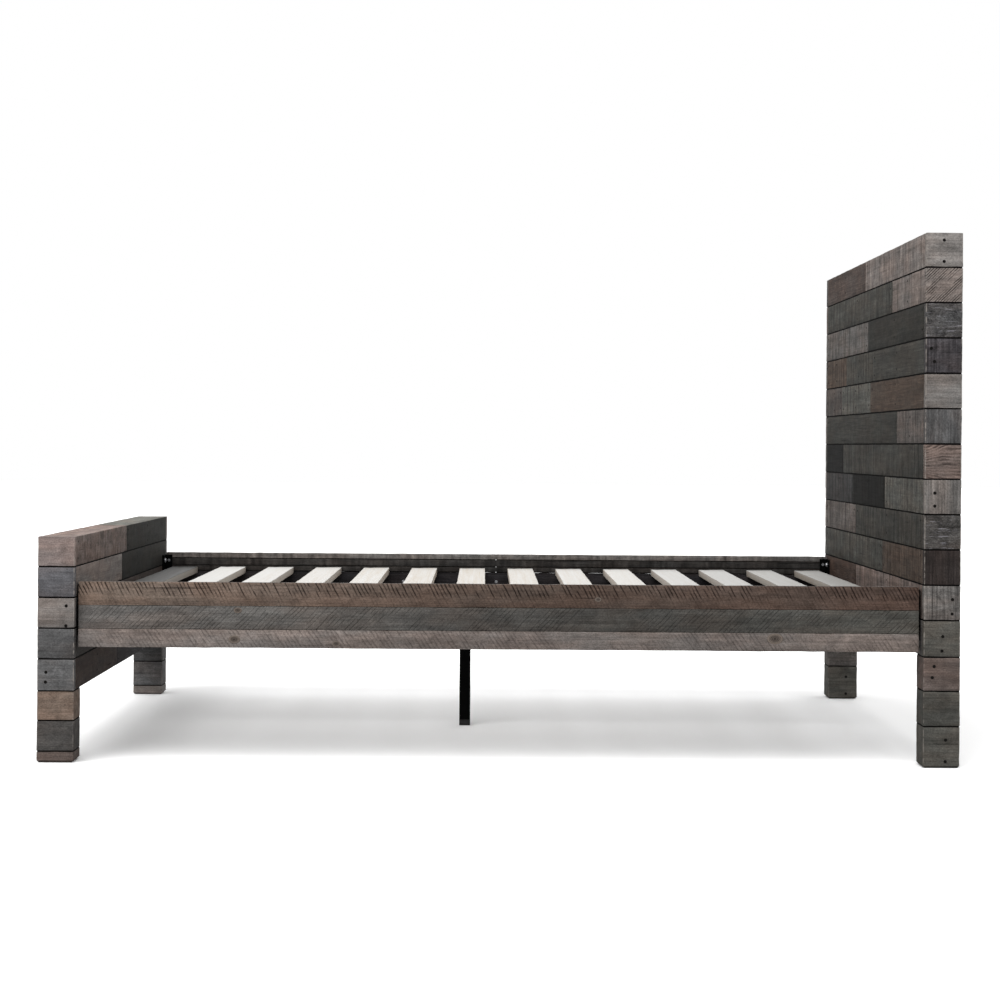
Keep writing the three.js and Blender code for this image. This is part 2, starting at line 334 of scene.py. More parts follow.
class Shader:
    """Builds one material's nodes, left to right."""

    def __init__(self, name: str) -> None:
        """Start a material with a Principled surface."""
        self.material = bpy.data.materials.new(name)
        self.material.use_nodes = True
        self.tree = self.material.node_tree
        self.surface = self.tree.nodes["Principled BSDF"]

    def node(self, kind: str, **settings: object) -> bpy.types.Node:
        """Add a node.

        Args:
            kind: the node's type.
            settings: its properties.

        Returns:
            The node.
        """
        node = self.tree.nodes.new(kind)
        for key, value in settings.items():
            setattr(node, key, value)
        return node

    def wire(self, source: Source, target: Socket) -> None:
        """Join an output to an input, or set the input to a number or colour.

        Args:
            source: the output, or the number or colour.
            target: the input.
        """
        if isinstance(source, Socket):
            self.tree.links.new(source, target)
        else:
            target.default_value = source

    def attribute(self, name: str) -> Socket:
        """Read one of the mesh's attributes, as a vector."""
        return self.node("ShaderNodeAttribute", attribute_name=name).outputs["Vector"]

    def colour_attribute(self, name: str) -> Socket:
        """Read one of the mesh's attributes, as a colour."""
        return self.node("ShaderNodeAttribute", attribute_name=name).outputs["Color"]

    def value_attribute(self, name: str) -> Socket:
        """Read one of the mesh's attributes, as a number."""
        return self.node("ShaderNodeAttribute", attribute_name=name).outputs["Fac"]

    def object_place(self) -> Socket:
        """Read the place on the piece, in metres."""
        return self.node("ShaderNodeTexCoord").outputs["Object"]

    def part(self, vector: Socket, axis: str) -> Socket:
        """Read one coordinate of a vector.

        Args:
            vector: the vector's socket.
            axis: "x", "y" or "z".

        Returns:
            The coordinate's socket.
        """
        node = self.node("ShaderNodeSeparateXYZ")
        self.wire(vector, node.inputs["Vector"])
        return node.outputs[axis.upper()]

    def layered(self, value: Source, pattern: Socket, contrast: float, middle: float = 0.5) -> Socket:
        """Multiply a value by a pattern that keeps its mean.

        Args:
            value: the value, or its socket.
            pattern: the pattern's socket, 0 to 1.
            contrast: how much the pattern changes the value, from its lowest to its highest.
            middle: the pattern's own mean.

        Returns:
            The new value's socket.
        """
        factor = self.maths("MULTIPLY_ADD", pattern, contrast, 1.0 - contrast * middle)
        return self.maths("MULTIPLY", value, factor)

    def mapped(
        self, vector: Socket, scale: Triple = (1, 1, 1), turn: Triple = (0, 0, 0), shift: Triple = (0, 0, 0)
    ) -> Socket:
        """Scale, turn and shift a vector.

        Args:
            vector: the vector's socket.
            scale: the three factors.
            turn: the three angles in degrees.
            shift: the three distances.

        Returns:
            The new vector's socket.
        """
        node = self.node("ShaderNodeMapping")
        node.inputs["Scale"].default_value = scale
        node.inputs["Rotation"].default_value = [math.radians(a) for a in turn]
        node.inputs["Location"].default_value = shift
        self.wire(vector, node.inputs["Vector"])
        return node.outputs["Vector"]

    def texture(self, kind: str, vector: Socket, inputs: dict[str, float], **settings: str) -> bpy.types.Node:
        """Add a texture.

        Args:
            kind: the node's type.
            vector: the socket of the place that it reads.
            inputs: the values of its inputs, by name.
            settings: its properties.

        Returns:
            The texture's node.
        """
        node = self.node(kind, **settings)
        self.wire(vector, node.inputs["Vector"])
        for name, value in inputs.items():
            node.inputs[name].default_value = value
        return node

    def noise(
        self, vector: Socket, scale: float, detail: float = 3.0, roughness: float = 0.5, swirl: float = 0.0
    ) -> Socket:
        """Add fractal noise.

        Args:
            vector: the socket of the place that it reads.
            scale: how many times it repeats a metre, roughly.
            detail: how many finer layers it has.
            roughness: how strong the finer layers are.
            swirl: how much it is stirred.

        Returns:
            Its value's socket, 0 to 1.
        """
        inputs = {"Scale": scale, "Detail": detail, "Roughness": roughness, "Distortion": swirl}
        return self.texture("ShaderNodeTexNoise", vector, inputs).outputs["Fac"]

    def wave(self, vector: Socket, period: float, distortion: float, detail_scale: float = 1.0) -> Socket:
        """Add bands along X.

        Args:
            vector: the socket of the place that they read.
            period: how far apart they are, in metres.
            distortion: how much they wander.
            detail_scale: how quickly they wander.

        Returns:
            Their value's socket, 0 to 1.
        """
        scale = math.pi / (10 * period)
        inputs = {"Scale": scale, "Distortion": distortion, "Detail": 3.0, "Detail Scale": detail_scale}
        bands = {"wave_type": "BANDS", "bands_direction": "X"}
        return self.texture("ShaderNodeTexWave", vector, inputs, **bands).outputs["Fac"]

    def cells(self, vector: Socket, scale: float) -> Socket:
        """Add cells and measure the distance from the nearest one's centre.

        Args:
            vector: the socket of the place that they read.
            scale: how many there are a metre, roughly.

        Returns:
            The distance's socket.
        """
        cells = self.texture("ShaderNodeTexVoronoi", vector, {"Scale": scale}, feature="F1")
        return cells.outputs["Distance"]

    def spread(
        self, value: Socket, low: float, high: float, to_low: float = 0.0, to_high: float = 1.0
    ) -> Socket:
        """Map a value from one range to another, clamped and eased.

        Args:
            value: the value's socket.
            low: the start of its own range.
            high: the end of its own range.
            to_low: what the start becomes.
            to_high: what the end becomes.

        Returns:
            The new value's socket.
        """
        node = self.node("ShaderNodeMapRange", interpolation_type="SMOOTHSTEP", clamp=True)
        self.wire(value, node.inputs["Value"])
        for name, bound in (("From Min", low), ("From Max", high), ("To Min", to_low), ("To Max", to_high)):
            node.inputs[name].default_value = bound
        return node.outputs["Result"]

    def maths(self, operation: str, *terms: Source) -> Socket:
        """Add one arithmetic step.

        Args:
            operation: what it works out.
            terms: its two or three numbers, or their sockets.

        Returns:
            The result's socket.
        """
        node = self.node("ShaderNodeMath", operation=operation)
        for number, term in enumerate(terms):
            self.wire(term, node.inputs[number])
        return node.outputs["Value"]

    def scaled(self, colour: Socket, value: Socket) -> Socket:
        """Multiply a colour by a value.

        Args:
            colour: the colour's socket.
            value: the value's socket.

        Returns:
            The new colour's socket.
        """
        node = self.node("ShaderNodeVectorMath", operation="SCALE")
        self.wire(colour, node.inputs["Vector"])
        self.wire(value, node.inputs["Scale"])
        return node.outputs["Vector"]

    def product(self, first: Socket, second: Socket) -> Socket:
        """Multiply two colours.

        Args:
            first: one colour's socket.
            second: the other's.

        Returns:
            The new colour's socket.
        """
        node = self.node("ShaderNodeVectorMath", operation="MULTIPLY")
        self.wire(first, node.inputs[0])
        self.wire(second, node.inputs[1])
        return node.outputs["Vector"]

    def blended(self, share: Socket, first: Source, second: Source) -> Socket:
        """Blend two colours.

        Args:
            share: the socket of the second one's share, 0 to 1.
            first: the first colour, or its socket.
            second: the second colour, or its socket.

        Returns:
            The new colour's socket.
        """
        node = self.node("ShaderNodeMix", data_type="RGBA")
        self.wire(share, node.inputs["Factor"])
        self.wire(first, node.inputs["A"])
        self.wire(second, node.inputs["B"])
        return node.outputs["Result"]

    def bump(self, height: Socket, distance: float, strength: float = 1.0) -> None:
        """Give the surface a relief.

        Args:
            height: the height's socket, 0 to 1.
            distance: how far its highest point stands out, in metres.
            strength: how much of it shows.
        """
        node = self.node("ShaderNodeBump")
        node.inputs["Distance"].default_value = distance
        node.inputs["Strength"].default_value = strength
        self.wire(height, node.inputs["Height"])
        self.wire(node.outputs["Normal"], self.surface.inputs["Normal"])

    def gloss(self, level: float, roughness: float | None = None) -> None:
        """Set how strongly the surface reflects.

        Args:
            level: the strength of its highlights, 0 to 1.
            roughness: how dull it is, where that is the same all over.
        """
        self.surface.inputs["Specular IOR Level"].default_value = level
        if roughness is not None:
            self.surface.inputs["Roughness"].default_value = roughness


def colour4(rgb: Triple) -> tuple[float, float, float, float]:
    """Give a display colour as a linear shader colour with full alpha."""
    return (*to_linear(rgb), 1.0)


# ---------------------------------------------------------------- finishes


@dataclass(frozen=True)
class WeatheredPine:
    """Old pine, stained by weather, on planks and blocks whose meshes carry a grain, a tone and a wear.

    Each scale is how quickly a pattern changes along the grain and across it, a metre. Each of streaks, bands,
    blotches, grit, kerf and rings is how strongly its pattern shows.
    """

    surface: Surface
    streaks: float = 1.25
    bands: float = 1.2
    blotches: float = 1.5
    grit: float = 1.3
    kerf: float = 0.25
    kerfs_a_metre: float = 190.0
    rings: float = 0.05
    ring_period: float = 7.0 * MM
    ring_bend: float = 60.0
    saw_angle: float = 0.0
    saw_period: float = 8.4 * MM
    saw_strength: float = 0.0
    saw_floor: float = 0.0
    saw_bare: float = 0.40
    scratches: float = 0.0
    scratch_angle: float = 33.0
    rubbed_width: float = 3.6 * MM
    fibre_scale: Triple = (7.0, 230.0, 230.0)
    band_scale: Triple = (2.2, 34.0, 34.0)
    blotch_scale: Triple = (24.0, 36.0, 36.0)
    grit_scale: Triple = (260.0, 380.0, 380.0)
    warmth_scale: Triple = (5.0, 15.0, 15.0)
    bend_scale: Triple = (9.0, 15.0, 15.0)
    fade_scale: Triple = (14.0, 60.0, 60.0)
    check_scale: Triple = (3.2, 150.0, 150.0)
    stroke_scale: Triple = (95.0, 22.0, 22.0)
    patch_scale: Triple = (4.0, 9.0, 9.0)
    scratch_scale: Triple = (34.0, 330.0, 300.0)
    rub_scale: Triple = (70.0, 70.0, 70.0)
    cool_tint: tuple = (0.97, 1.0, 1.01, 1.0)
    warm_tint: tuple = (1.05, 0.995, 0.96, 1.0)
    scratch_colour: Triple = (0.60, 0.59, 0.62)
    rubbed_colour: Triple = (0.56, 0.535, 0.51)

    def build(self) -> bpy.types.Material:
        """Build the material.

        Returns:
            The material, which reads the attributes "grain", "tone", "rim", "half" and "wear".
        """
        shader = Shader(f"weathered_pine_{self.surface.value}")
        grain = shader.attribute("grain")
        fine = shader.noise(shader.mapped(grain, self.fibre_scale), 1.0, 5.0, 0.65, swirl=0.25)
        bands = shader.noise(shader.mapped(grain, self.band_scale, shift=(2, 4, 1)), 1.0, 4.0, 0.6, swirl=0.5)
        blotches = shader.noise(shader.mapped(grain, self.blotch_scale), 1.0, 5.0, 0.70, swirl=0.8)
        grit = shader.noise(shader.mapped(grain, self.grit_scale), 1.0, 2.0, 0.6)
        kerf_scale = (self.kerfs_a_metre, 6.0, 6.0)
        kerf = shader.noise(shader.mapped(grain, kerf_scale, shift=(5, 1, 2)), 1.0, 3.0, 0.6, swirl=0.3)
        rings = self._rings(shader, grain, fine)

        value = shader.layered(1.0, fine, self.streaks)
        for pattern, contrast in (
            (bands, self.bands),
            (blotches, self.blotches),
            (grit, self.grit),
            (kerf, self.kerf),
        ):
            value = shader.layered(value, pattern, contrast)
        value = shader.layered(value, rings, self.rings, middle=0.17)
        relief = shader.maths("MULTIPLY_ADD", fine, 0.7, shader.maths("MULTIPLY", rings, self.rings))
        relief = shader.maths("MULTIPLY_ADD", kerf, self.kerf, relief)
        value, relief = self._checks(shader, grain, value, relief)
        if self.saw_strength > 0:
            value, relief = self._saw_marks(shader, grain, value, relief)
        shader.wire(self._colour(shader, grain, value), shader.surface.inputs["Base Color"])
        shader.wire(shader.maths("MULTIPLY_ADD", fine, 0.3, 0.62), shader.surface.inputs["Roughness"])
        shader.gloss(0.03)
        shader.bump(relief, 0.8 * MM, 0.8)
        return shader.material

    def _rings(self, shader: Shader, grain: Socket, fine: Socket) -> Socket:
        """Draw the growth rings that the saw cut through, bent round unseen knots.

        Args:
            shader: the material's shader.
            grain: the socket of the place along and across the grain.
            fine: the fibres' socket, which break the rings up.

        Returns:
            The rings' socket, 0 to 1.
        """
        bend = shader.noise(shader.mapped(grain, self.bend_scale, shift=(9, 2, 5)), 1.0, 1.5, 0.45)
        level = shader.maths("MULTIPLY", shader.part(grain, "y"), math.tau / self.ring_period)
        lines = shader.maths("SINE", shader.maths("MULTIPLY_ADD", bend, self.ring_bend, level))
        fade = shader.noise(shader.mapped(grain, self.fade_scale, shift=(4, 8, 6)), 1.0, 3.0, 0.6)
        lines = shader.maths("MULTIPLY", shader.maths("MULTIPLY_ADD", lines, 0.5, 0.5), fine)
        return shader.maths("MULTIPLY", lines, shader.spread(fade, 0.36, 0.62, 0.15, 1.0))

    def _checks(self, shader: Shader, grain: Socket, value: Socket, relief: Socket) -> tuple[Socket, Socket]:
        """Open short dark checks along the grain.

        Args:
            shader: the material's shader.
            grain: the socket of the place along and across the grain.
            value: the lightness's socket.
            relief: the relief's socket.

        Returns:
            The sockets of the new lightness and relief.
        """
        cracks = shader.noise(shader.mapped(grain, self.check_scale, shift=(7, 3, 1)), 1.0, 2.0)
        cracks = shader.spread(cracks, 0.69, 0.77)
        value = shader.maths("MULTIPLY", value, shader.maths("MULTIPLY_ADD", cracks, -0.5, 1.0))
        return value, shader.maths("MULTIPLY_ADD", cracks, -1.2, relief)

    def _saw_marks(
        self, shader: Shader, grain: Socket, value: Socket, relief: Socket
    ) -> tuple[Socket, Socket]:
        """Score short dark strokes that a circular saw left, in patches.

        Args:
            shader: the material's shader.
            grain: the socket of the place along and across the grain.
            value: the lightness's socket.
            relief: the relief's socket.

        Returns:
            The sockets of the new lightness and relief.
        """
        turned = shader.mapped(grain, turn=(0, 0, self.saw_angle))
        strokes = shader.spread(shader.wave(turned, self.saw_period, 2.4, 0.45), 0.52, 0.92)
        each = shader.noise(shader.mapped(turned, self.stroke_scale, shift=(1, 5, 2)), 1.0, 2.0)
        patches = shader.noise(shader.mapped(grain, self.patch_scale, shift=(1, 5, 2)), 1.0, 2.0)
        patches = shader.spread(patches, self.saw_bare - 0.06, self.saw_bare + 0.08)
        marks = shader.maths("MULTIPLY", strokes, shader.spread(each, 0.36, 0.60))
        marks = shader.maths("MULTIPLY", marks, patches)
        if self.saw_floor > 0:
            height = shader.part(grain, "y")
            rise = shader.spread(height, self.saw_floor, self.saw_floor + 14 * MM, 0.25)
            marks = shader.maths("MULTIPLY", marks, rise)
        darker = shader.maths("MULTIPLY_ADD", marks, -self.saw_strength, 1.05)
        return shader.maths("MULTIPLY", value, darker), shader.maths("MULTIPLY_ADD", marks, -1.6, relief)

    def _colour(self, shader: Shader, grain: Socket, value: Socket) -> Socket:
        """Tint the timber's tone, darken it by the patterns, and lay its scratches and wear over them.

        Args:
            shader: the material's shader.
            grain: the socket of the place along and across the grain.
            value: the lightness's socket.

        Returns:
            The colour's socket.
        """
        warmth = shader.noise(shader.mapped(grain, self.warmth_scale, shift=(3.1, 1.7, 0.4)), 1.0, 3.0, 0.6)
        tint = shader.blended(shader.spread(warmth, 0.36, 0.64), self.cool_tint, self.warm_tint)
        colour = shader.scaled(shader.product(shader.colour_attribute("tone"), tint), value)
        if self.scratches > 0:
            turned = shader.mapped(grain, self.scratch_scale, turn=(0, 0, self.scratch_angle))
            marks = shader.noise(turned, 1.0, 4.0, 0.7, swirl=0.3)
            marks = shader.maths("MULTIPLY", shader.spread(marks, 0.58, 0.71), self.scratches)
            colour = shader.blended(marks, colour, colour4(self.scratch_colour))
        return shader.blended(self._wear(shader, grain), colour, colour4(self.rubbed_colour))

    def _wear(self, shader: Shader, grain: Socket) -> Socket:
        """Rub the upright corners pale, in patches.

        Args:
            shader: the material's shader.
            grain: the socket of the place along and across the grain.

        Returns:
            The socket of how far it is rubbed, 0 to 1.
        """
        rim, half = shader.attribute("rim"), shader.attribute("half")
        share = shader.maths("MULTIPLY", shader.value_attribute("wear"), 0.8)
        for axis in "xy":
            inside = shader.maths("ABSOLUTE", shader.part(rim, axis))
            depth = shader.maths("SUBTRACT", shader.part(half, axis), inside)
            share = shader.maths("MULTIPLY", share, shader.spread(depth, 0.0, self.rubbed_width, 1.0, 0.0))
        patches = shader.noise(shader.mapped(grain, self.rub_scale), 1.0, 5.0, 0.65)
        return shader.maths("MULTIPLY", share, shader.spread(patches, 0.42, 0.58))


@dataclass(frozen=True)
class RawPine:
    """Planed, unfinished pale pine of the slats."""

    pale: Triple = (0.93, 0.915, 0.885)
    warm: Triple = (0.86, 0.80, 0.72)
    knot: Triple = (0.55, 0.40, 0.27)
    streak_scale: Triple = (2.0, 150.0, 150.0)
    ring_period: float = 13.0 * MM
    knots_a_metre: float = 2.2

    def build(self) -> bpy.types.Material:
        """Build the material.

        Returns:
            The material, which reads the attributes "grain" and "tone".
        """
        shader = Shader("raw_pine")
        grain = shader.attribute("grain")
        streaks = shader.noise(shader.mapped(grain, self.streak_scale), 1.0, 5.0, 0.6)
        turned = shader.mapped(grain, (1.0, 0.08, 1.0), turn=(0, 0, 90))
        rings = shader.wave(turned, self.ring_period, 6.0, 9.0)
        knots = shader.cells(shader.mapped(grain, (1.0, 2.0, 2.0)), self.knots_a_metre)
        knots = shader.maths("MULTIPLY", shader.spread(knots, 0.015, 0.05, 1.0, 0.0), 0.8)
        share = shader.maths("MULTIPLY", streaks, shader.maths("MULTIPLY_ADD", rings, 0.6, 0.3))
        colour = shader.blended(shader.spread(share, 0.1, 0.75), colour4(self.pale), colour4(self.warm))
        colour = shader.blended(knots, colour, colour4(self.knot))
        colour = shader.product(colour, shader.colour_attribute("tone"))
        shader.wire(colour, shader.surface.inputs["Base Color"])
        shader.wire(shader.maths("MULTIPLY_ADD", streaks, 0.2, 0.55), shader.surface.inputs["Roughness"])
        shader.gloss(0.15)
        shader.bump(streaks, 0.3 * MM, 0.5)
        return shader.material


@dataclass(frozen=True)
class Coating:
    """A paint, plating or moulded surface on a steel or plastic piece."""

    name: str
    colour: Triple
    roughness: float
    grit_scale: float
    grit_depth: float
    metallic: float = 0.0
    gloss: float = 0.3

    def build(self) -> bpy.types.Material:
        """Build the material.

        Returns:
            The material, which reads the place on the piece.
        """
        shader = Shader(self.name)
        inputs = shader.surface.inputs
        place = shader.object_place()
        grit = shader.noise(place, self.grit_scale, 3.0, 0.6)
        wear = shader.noise(place, 45.0, 4.0, 0.6)
        base = colour4(self.colour)
        lifted = tuple(min(1.0, 1.3 * c + 0.0008) for c in base[:3]) + (1.0,)
        shader.wire(shader.blended(shader.spread(wear, 0.35, 0.75), base, lifted), inputs["Base Color"])
        shader.wire(shader.maths("MULTIPLY_ADD", wear, 0.25, self.roughness - 0.12), inputs["Roughness"])
        inputs["Metallic"].default_value = self.metallic
        shader.gloss(self.gloss)
        shader.bump(grit, self.grit_depth, 0.6)
        return shader.material


@dataclass(frozen=True)
class Knotwood:
    """The dark ringed end of a branch, on a disc whose mesh carries its own place in "grain"."""

    ring: float = 1.7 * MM
    rim: float = 9.0 * MM
    wander: float = 2.4 * MM
    dark: Triple = (0.085, 0.075, 0.07)
    pale: Triple = (0.44, 0.40, 0.37)

    def build(self) -> bpy.types.Material:
        """Build the material.

        Returns:
            The material, which reads the attribute "grain".
        """
        shader = Shader("pine_knot")
        place = shader.attribute("grain")
        node = shader.node("ShaderNodeVectorMath", operation="LENGTH")
        shader.wire(place, node.inputs[0])
        wander = shader.noise(place, 420.0, 3.0, 0.6)
        reach = shader.maths("MULTIPLY_ADD", wander, self.wander, node.outputs["Value"])
        rings = shader.maths("SINE", shader.maths("MULTIPLY", reach, math.tau / self.ring))
        share = shader.maths("MULTIPLY_ADD", rings, 0.28, 0.34)
        share = shader.maths("ADD", share, shader.spread(reach, self.rim * 0.55, self.rim * 1.1, 0.0, 0.5))
        colour = shader.blended(share, colour4(self.dark), colour4(self.pale))
        shader.wire(colour, shader.surface.inputs["Base Color"])
        shader.gloss(0.05, roughness=0.75)
        shader.bump(share, 0.4 * MM, 0.6)
        return shader.material


class Finishes:
    """All the finishes of the bed frame."""

    def __init__(self) -> None:
        """Build every finish once."""
        recipes = [
            WeatheredPine(Surface.PLANED),
            WeatheredPine(Surface.BANDED, kerf=2.3, kerfs_a_metre=60.0, blotches=1.9, streaks=1.2),
            WeatheredPine(
                Surface.SAWN_BACK, saw_angle=-28.0, saw_strength=0.78, saw_floor=18 * MM, saw_bare=0.33
            ),
            WeatheredPine(Surface.SAWN_FORWARD, saw_angle=44.0, saw_period=8.5 * MM, saw_strength=0.17),
            WeatheredPine(Surface.SAWN_LOW, saw_angle=-34.0, saw_period=9.0 * MM, saw_strength=0.21),
            WeatheredPine(
                Surface.HATCHED, saw_angle=46.0, saw_period=5.0 * MM, saw_strength=0.8, saw_bare=0.2
            ),
            WeatheredPine(Surface.RIBBED, kerf=2.6, streaks=0.7, bands=0.8, blotches=2.6),
            WeatheredPine(Surface.STREAKED, streaks=2.4, kerf=0.3),
            WeatheredPine(Surface.FIGURED, rings=-1.6, streaks=0.9),
            WeatheredPine(Surface.SCRATCHED, scratches=0.6, grit=2.4, blotches=3.6),
        ]
        self.pine = {recipe.surface: recipe.build() for recipe in recipes}
        self.raw_pine = RawPine().build()
        self.knot = Knotwood().build()
        powder_coat = Coating("black_powder_coat", (0.012, 0.012, 0.012), 0.55, 900.0, 0.05 * MM, gloss=0.02)
        self.steel = powder_coat.build()
        self.zinc = Coating("zinc_plate", (0.52, 0.52, 0.53), 0.42, 500.0, 0.02 * MM, metallic=1.0).build()
        self.plastic = Coating("black_moulding", (0.05, 0.05, 0.05), 0.55, 700.0, 0.04 * MM).build()
        # A near-black filler in the gaps between courses and leg blocks: painted shadow.
        painted_shadow_colour = (0.035, 0.032, 0.03)
        self.shadow = Coating("painted_shadow_black", painted_shadow_colour, 0.9, 300.0, 0.1 * MM, gloss=0.02).build()
        self.nail = Coating("rusted_nail", (0.05, 0.045, 0.04), 0.8, 600.0, 0.1 * MM, gloss=0.05).build()


# ---------------------------------------------------------------- timbers


@dataclass(frozen=True)
class Plank:
    """One timber of a row: its tone, its share of the row's length, its face and its shades end to end.

    Where its shades hold painted shade, its top can have a lighter shade of its own, free of it.
    """

    tone: Tone
    share: float = 1.0
    surface: Surface = Surface.PLANED
    shades: tuple = (1.0,)
    far_tone: Tone | None = None
    top: float | None = None

    def colour_at(self, place: float, on_top: bool = False) -> Vector:
        """Mix the colour at a place along the plank.

        Args:
            place: how far along it is, 0 to 1.
            on_top: whether it is on the top face.

        Returns:
            The linear colour.
        """
        near = Vector(to_linear(self.tone.value))
        far = near if self.far_tone is None else Vector(to_linear(self.far_tone.value))
        step = place * (len(self.shades) - 1)
        index = min(int(step), max(0, len(self.shades) - 2))
        last = min(index + 1, len(self.shades) - 1)
        shade = self.shades[index] + (self.shades[last] - self.shades[index]) * (step - index)
        if on_top and self.top is not None:
            shade = self.top
        return near.lerp(far, place) * shade


@dataclass
class Sawmill:
    """Makes worn timbers with a grain and a tone, each different from the last."""

    finishes: Finishes
    cell: float = 26.0 * MM
    small_cell: float = 20.8 * MM
    cells_when_long: int = 6
    edge: float = 1.3 * MM
    wear: float = 0.7 * MM
    sway: float = 0.9 * MM
    foot_chamfer: float = 5.0 * MM
    core_edge: float = 0.4 * MM
    top_skin: float = 0.7 * MM
    made: int = 0

    def __post_init__(self) -> None:
        """Make the soft noise that bends the faces a little."""
        self.unevenness = bpy.data.textures.new("unevenness", type="CLOUDS")
        self.unevenness.noise_scale = 0.09

    def timber(
        self,
        low: Vector,
        high: Vector,
        along: str,
        plank: Plank,
        edge: float | None = None,
        worn: float = 0.0,
        foot: bool = False,
    ) -> Piece:
        """Make one timber between two corners.

        Args:
            low: its lowest corner.
            high: its highest corner.
            along: the axis its grain runs along.
            plank: its tone and face.
            edge: the width of its rounded edges, or None for the usual one.
            worn: how pale its upright edges are rubbed, 0 to 1.
            foot: whether it stands on the floor, with a chamfer round its sole.

        Returns:
            The timber, with its place in its mesh.
        """
        self.made += 1
        edge = edge or self.edge
        size = high - low
        piece = add_block(low, high)
        bpy.ops.object.mode_set(mode="EDIT")
        for axis in range(3):
            cell = self.cell if size[axis] > self.cells_when_long * self.cell else self.small_cell
            cuts = max(0, round(size[axis] / cell) - 1)
            if cuts:
                select_edges(piece, lambda e, a=axis: self._runs_along(e, a))
                bpy.ops.mesh.subdivide(number_cuts=cuts)
        if foot:
            select_edges(piece, lambda e: self._on_sole(e, low) and self._on_rim(e, low, high))
            bpy.ops.mesh.bevel(offset=self.foot_chamfer, segments=1, affect="EDGES")
        select_edges(piece, lambda e: self._on_rim(e, low, high))
        wear = min(self.wear, edge * 0.5)
        bpy.ops.transform.vertex_random(offset=wear, uniform=0.0, normal=0.0, seed=self.made)
        bpy.ops.mesh.bevel(offset=edge, segments=2, affect="EDGES", profile=0.6)
        bpy.ops.object.mode_set(mode="OBJECT")
        piece.data.materials.append(self.finishes.pine[plank.surface])
        self._mark(piece, low, high, along, plank, worn)
        self._sway(piece)
        return piece

    def core(self, low: Vector, high: Vector) -> Piece:
        """Make a near-black filler, a painted shadow that shows in the joints, with eased edges.

        Args:
            low: its lowest corner.
            high: its highest corner.

        Returns:
            The core.
        """
        piece = add_block(low, high)
        bpy.ops.object.mode_set(mode="EDIT")
        bpy.ops.mesh.bevel(offset=self.core_edge, segments=1, affect="EDGES")
        bpy.ops.object.mode_set(mode="OBJECT")
        piece.data.materials.append(self.finishes.shadow)
        return piece

    @staticmethod
    def _on_sole(edge: bmesh.types.BMEdge, low: Vector) -> bool:
        """Whether an edge lies in a box's lowest face."""
        return all(vertex.co.z < low.z + CLOSE for vertex in edge.verts)

    @staticmethod
    def _on_rim(edge: bmesh.types.BMEdge, low: Vector, high: Vector) -> bool:
        """Tell whether an edge lies on one of the twelve rims of a box.

        Args:
            edge: the edge.
            low: the box's lowest corner.
            high: its highest corner.

        Returns:
            True on a rim.
        """
        run = edge.verts[1].co - edge.verts[0].co
        middle = (edge.verts[1].co + edge.verts[0].co) / 2
        across = [a for a in range(3) if abs(run[a]) < 0.5 * run.length]
        return all(min(abs(middle[a] - low[a]), abs(middle[a] - high[a])) < CLOSE for a in across)

    @staticmethod
    def _runs_along(edge: bmesh.types.BMEdge, axis: int) -> bool:
        """Whether an edge runs along an axis."""
        run = edge.verts[1].co - edge.verts[0].co
        return abs(run[axis]) > 0.99 * run.length

    def _sway(self, piece: Piece) -> None:
        """Bend the faces of a timber a little, as old wood does.

        Args:
            piece: the timber.
        """
        modifier = piece.modifiers.new("sway", "DISPLACE")
        modifier.texture = self.unevenness
        modifier.texture_coords = "GLOBAL"
        modifier.strength = self.sway
        modifier.mid_level = 0.55
        apply_modifiers(piece)

    def _mark(self, piece: Piece, low: Vector, high: Vector, along: str, plank: Plank, worn: float) -> None:
        """Write the grain's coordinates, the tone and the wear onto a timber's vertices.

        Args:
            piece: the timber.
            low: its lowest corner.
            high: its highest corner.
            along: the axis its grain runs along.
            plank: its tone.
            worn: how pale its upright edges are rubbed.
        """
        draw = random.Random(self.made)
        first = AXES[along]
        size = high - low
        across = 2 if along != "z" else 0
        depth = 3 - first - across
        shift = Vector((draw.uniform(0, 40), 0.0, draw.uniform(0, 8)))
        middle = (low + high) / 2
        grain, tone, rim = [], [], []
        for vertex in piece.data.vertices:
            place = vertex.co - low
            on_top = vertex.co.z > high.z - self.top_skin
            grain.extend((place[first] + shift.x, place[across] + shift.y, place[depth] + shift.z))
            tone.extend(plank.colour_at(min(1.0, max(0.0, place[first] / size[first])), on_top))
            rim.extend(vertex.co - middle)
        count = len(piece.data.vertices)
        for name, values in (("grain", grain), ("tone", tone), ("rim", rim), ("half", [*(size / 2)] * count)):
            attribute = piece.data.attributes.new(name, "FLOAT_VECTOR", "POINT")
            attribute.data.foreach_set("vector", values)
        piece.data.attributes.new("wear", "FLOAT", "POINT").data.foreach_set("value", [worn] * count)

    def row(self, low: Vector, high: Vector, along: str, planks: list[Plank]) -> list[Piece]:
        """Lay planks end to end between two corners.

        Args:
            low: the row's lowest corner.
            high: the row's highest corner.
            along: the axis that the row and its grain run along.
            planks: the planks, in order, with their shares of the length.

        Returns:
            The timbers.
        """
        axis = AXES[along]
        total = sum(p.share for p in planks)
        start = low[axis]
        timbers = []
        for plank in planks:
            end = start + (high[axis] - low[axis]) * plank.share / total
            a, b = low.copy(), high.copy()
            a[axis] = start + BUTT_GAP / 2
            b[axis] = end - BUTT_GAP / 2
            timbers.append(self.timber(a, b, along, plank))
            start = end
        return timbers


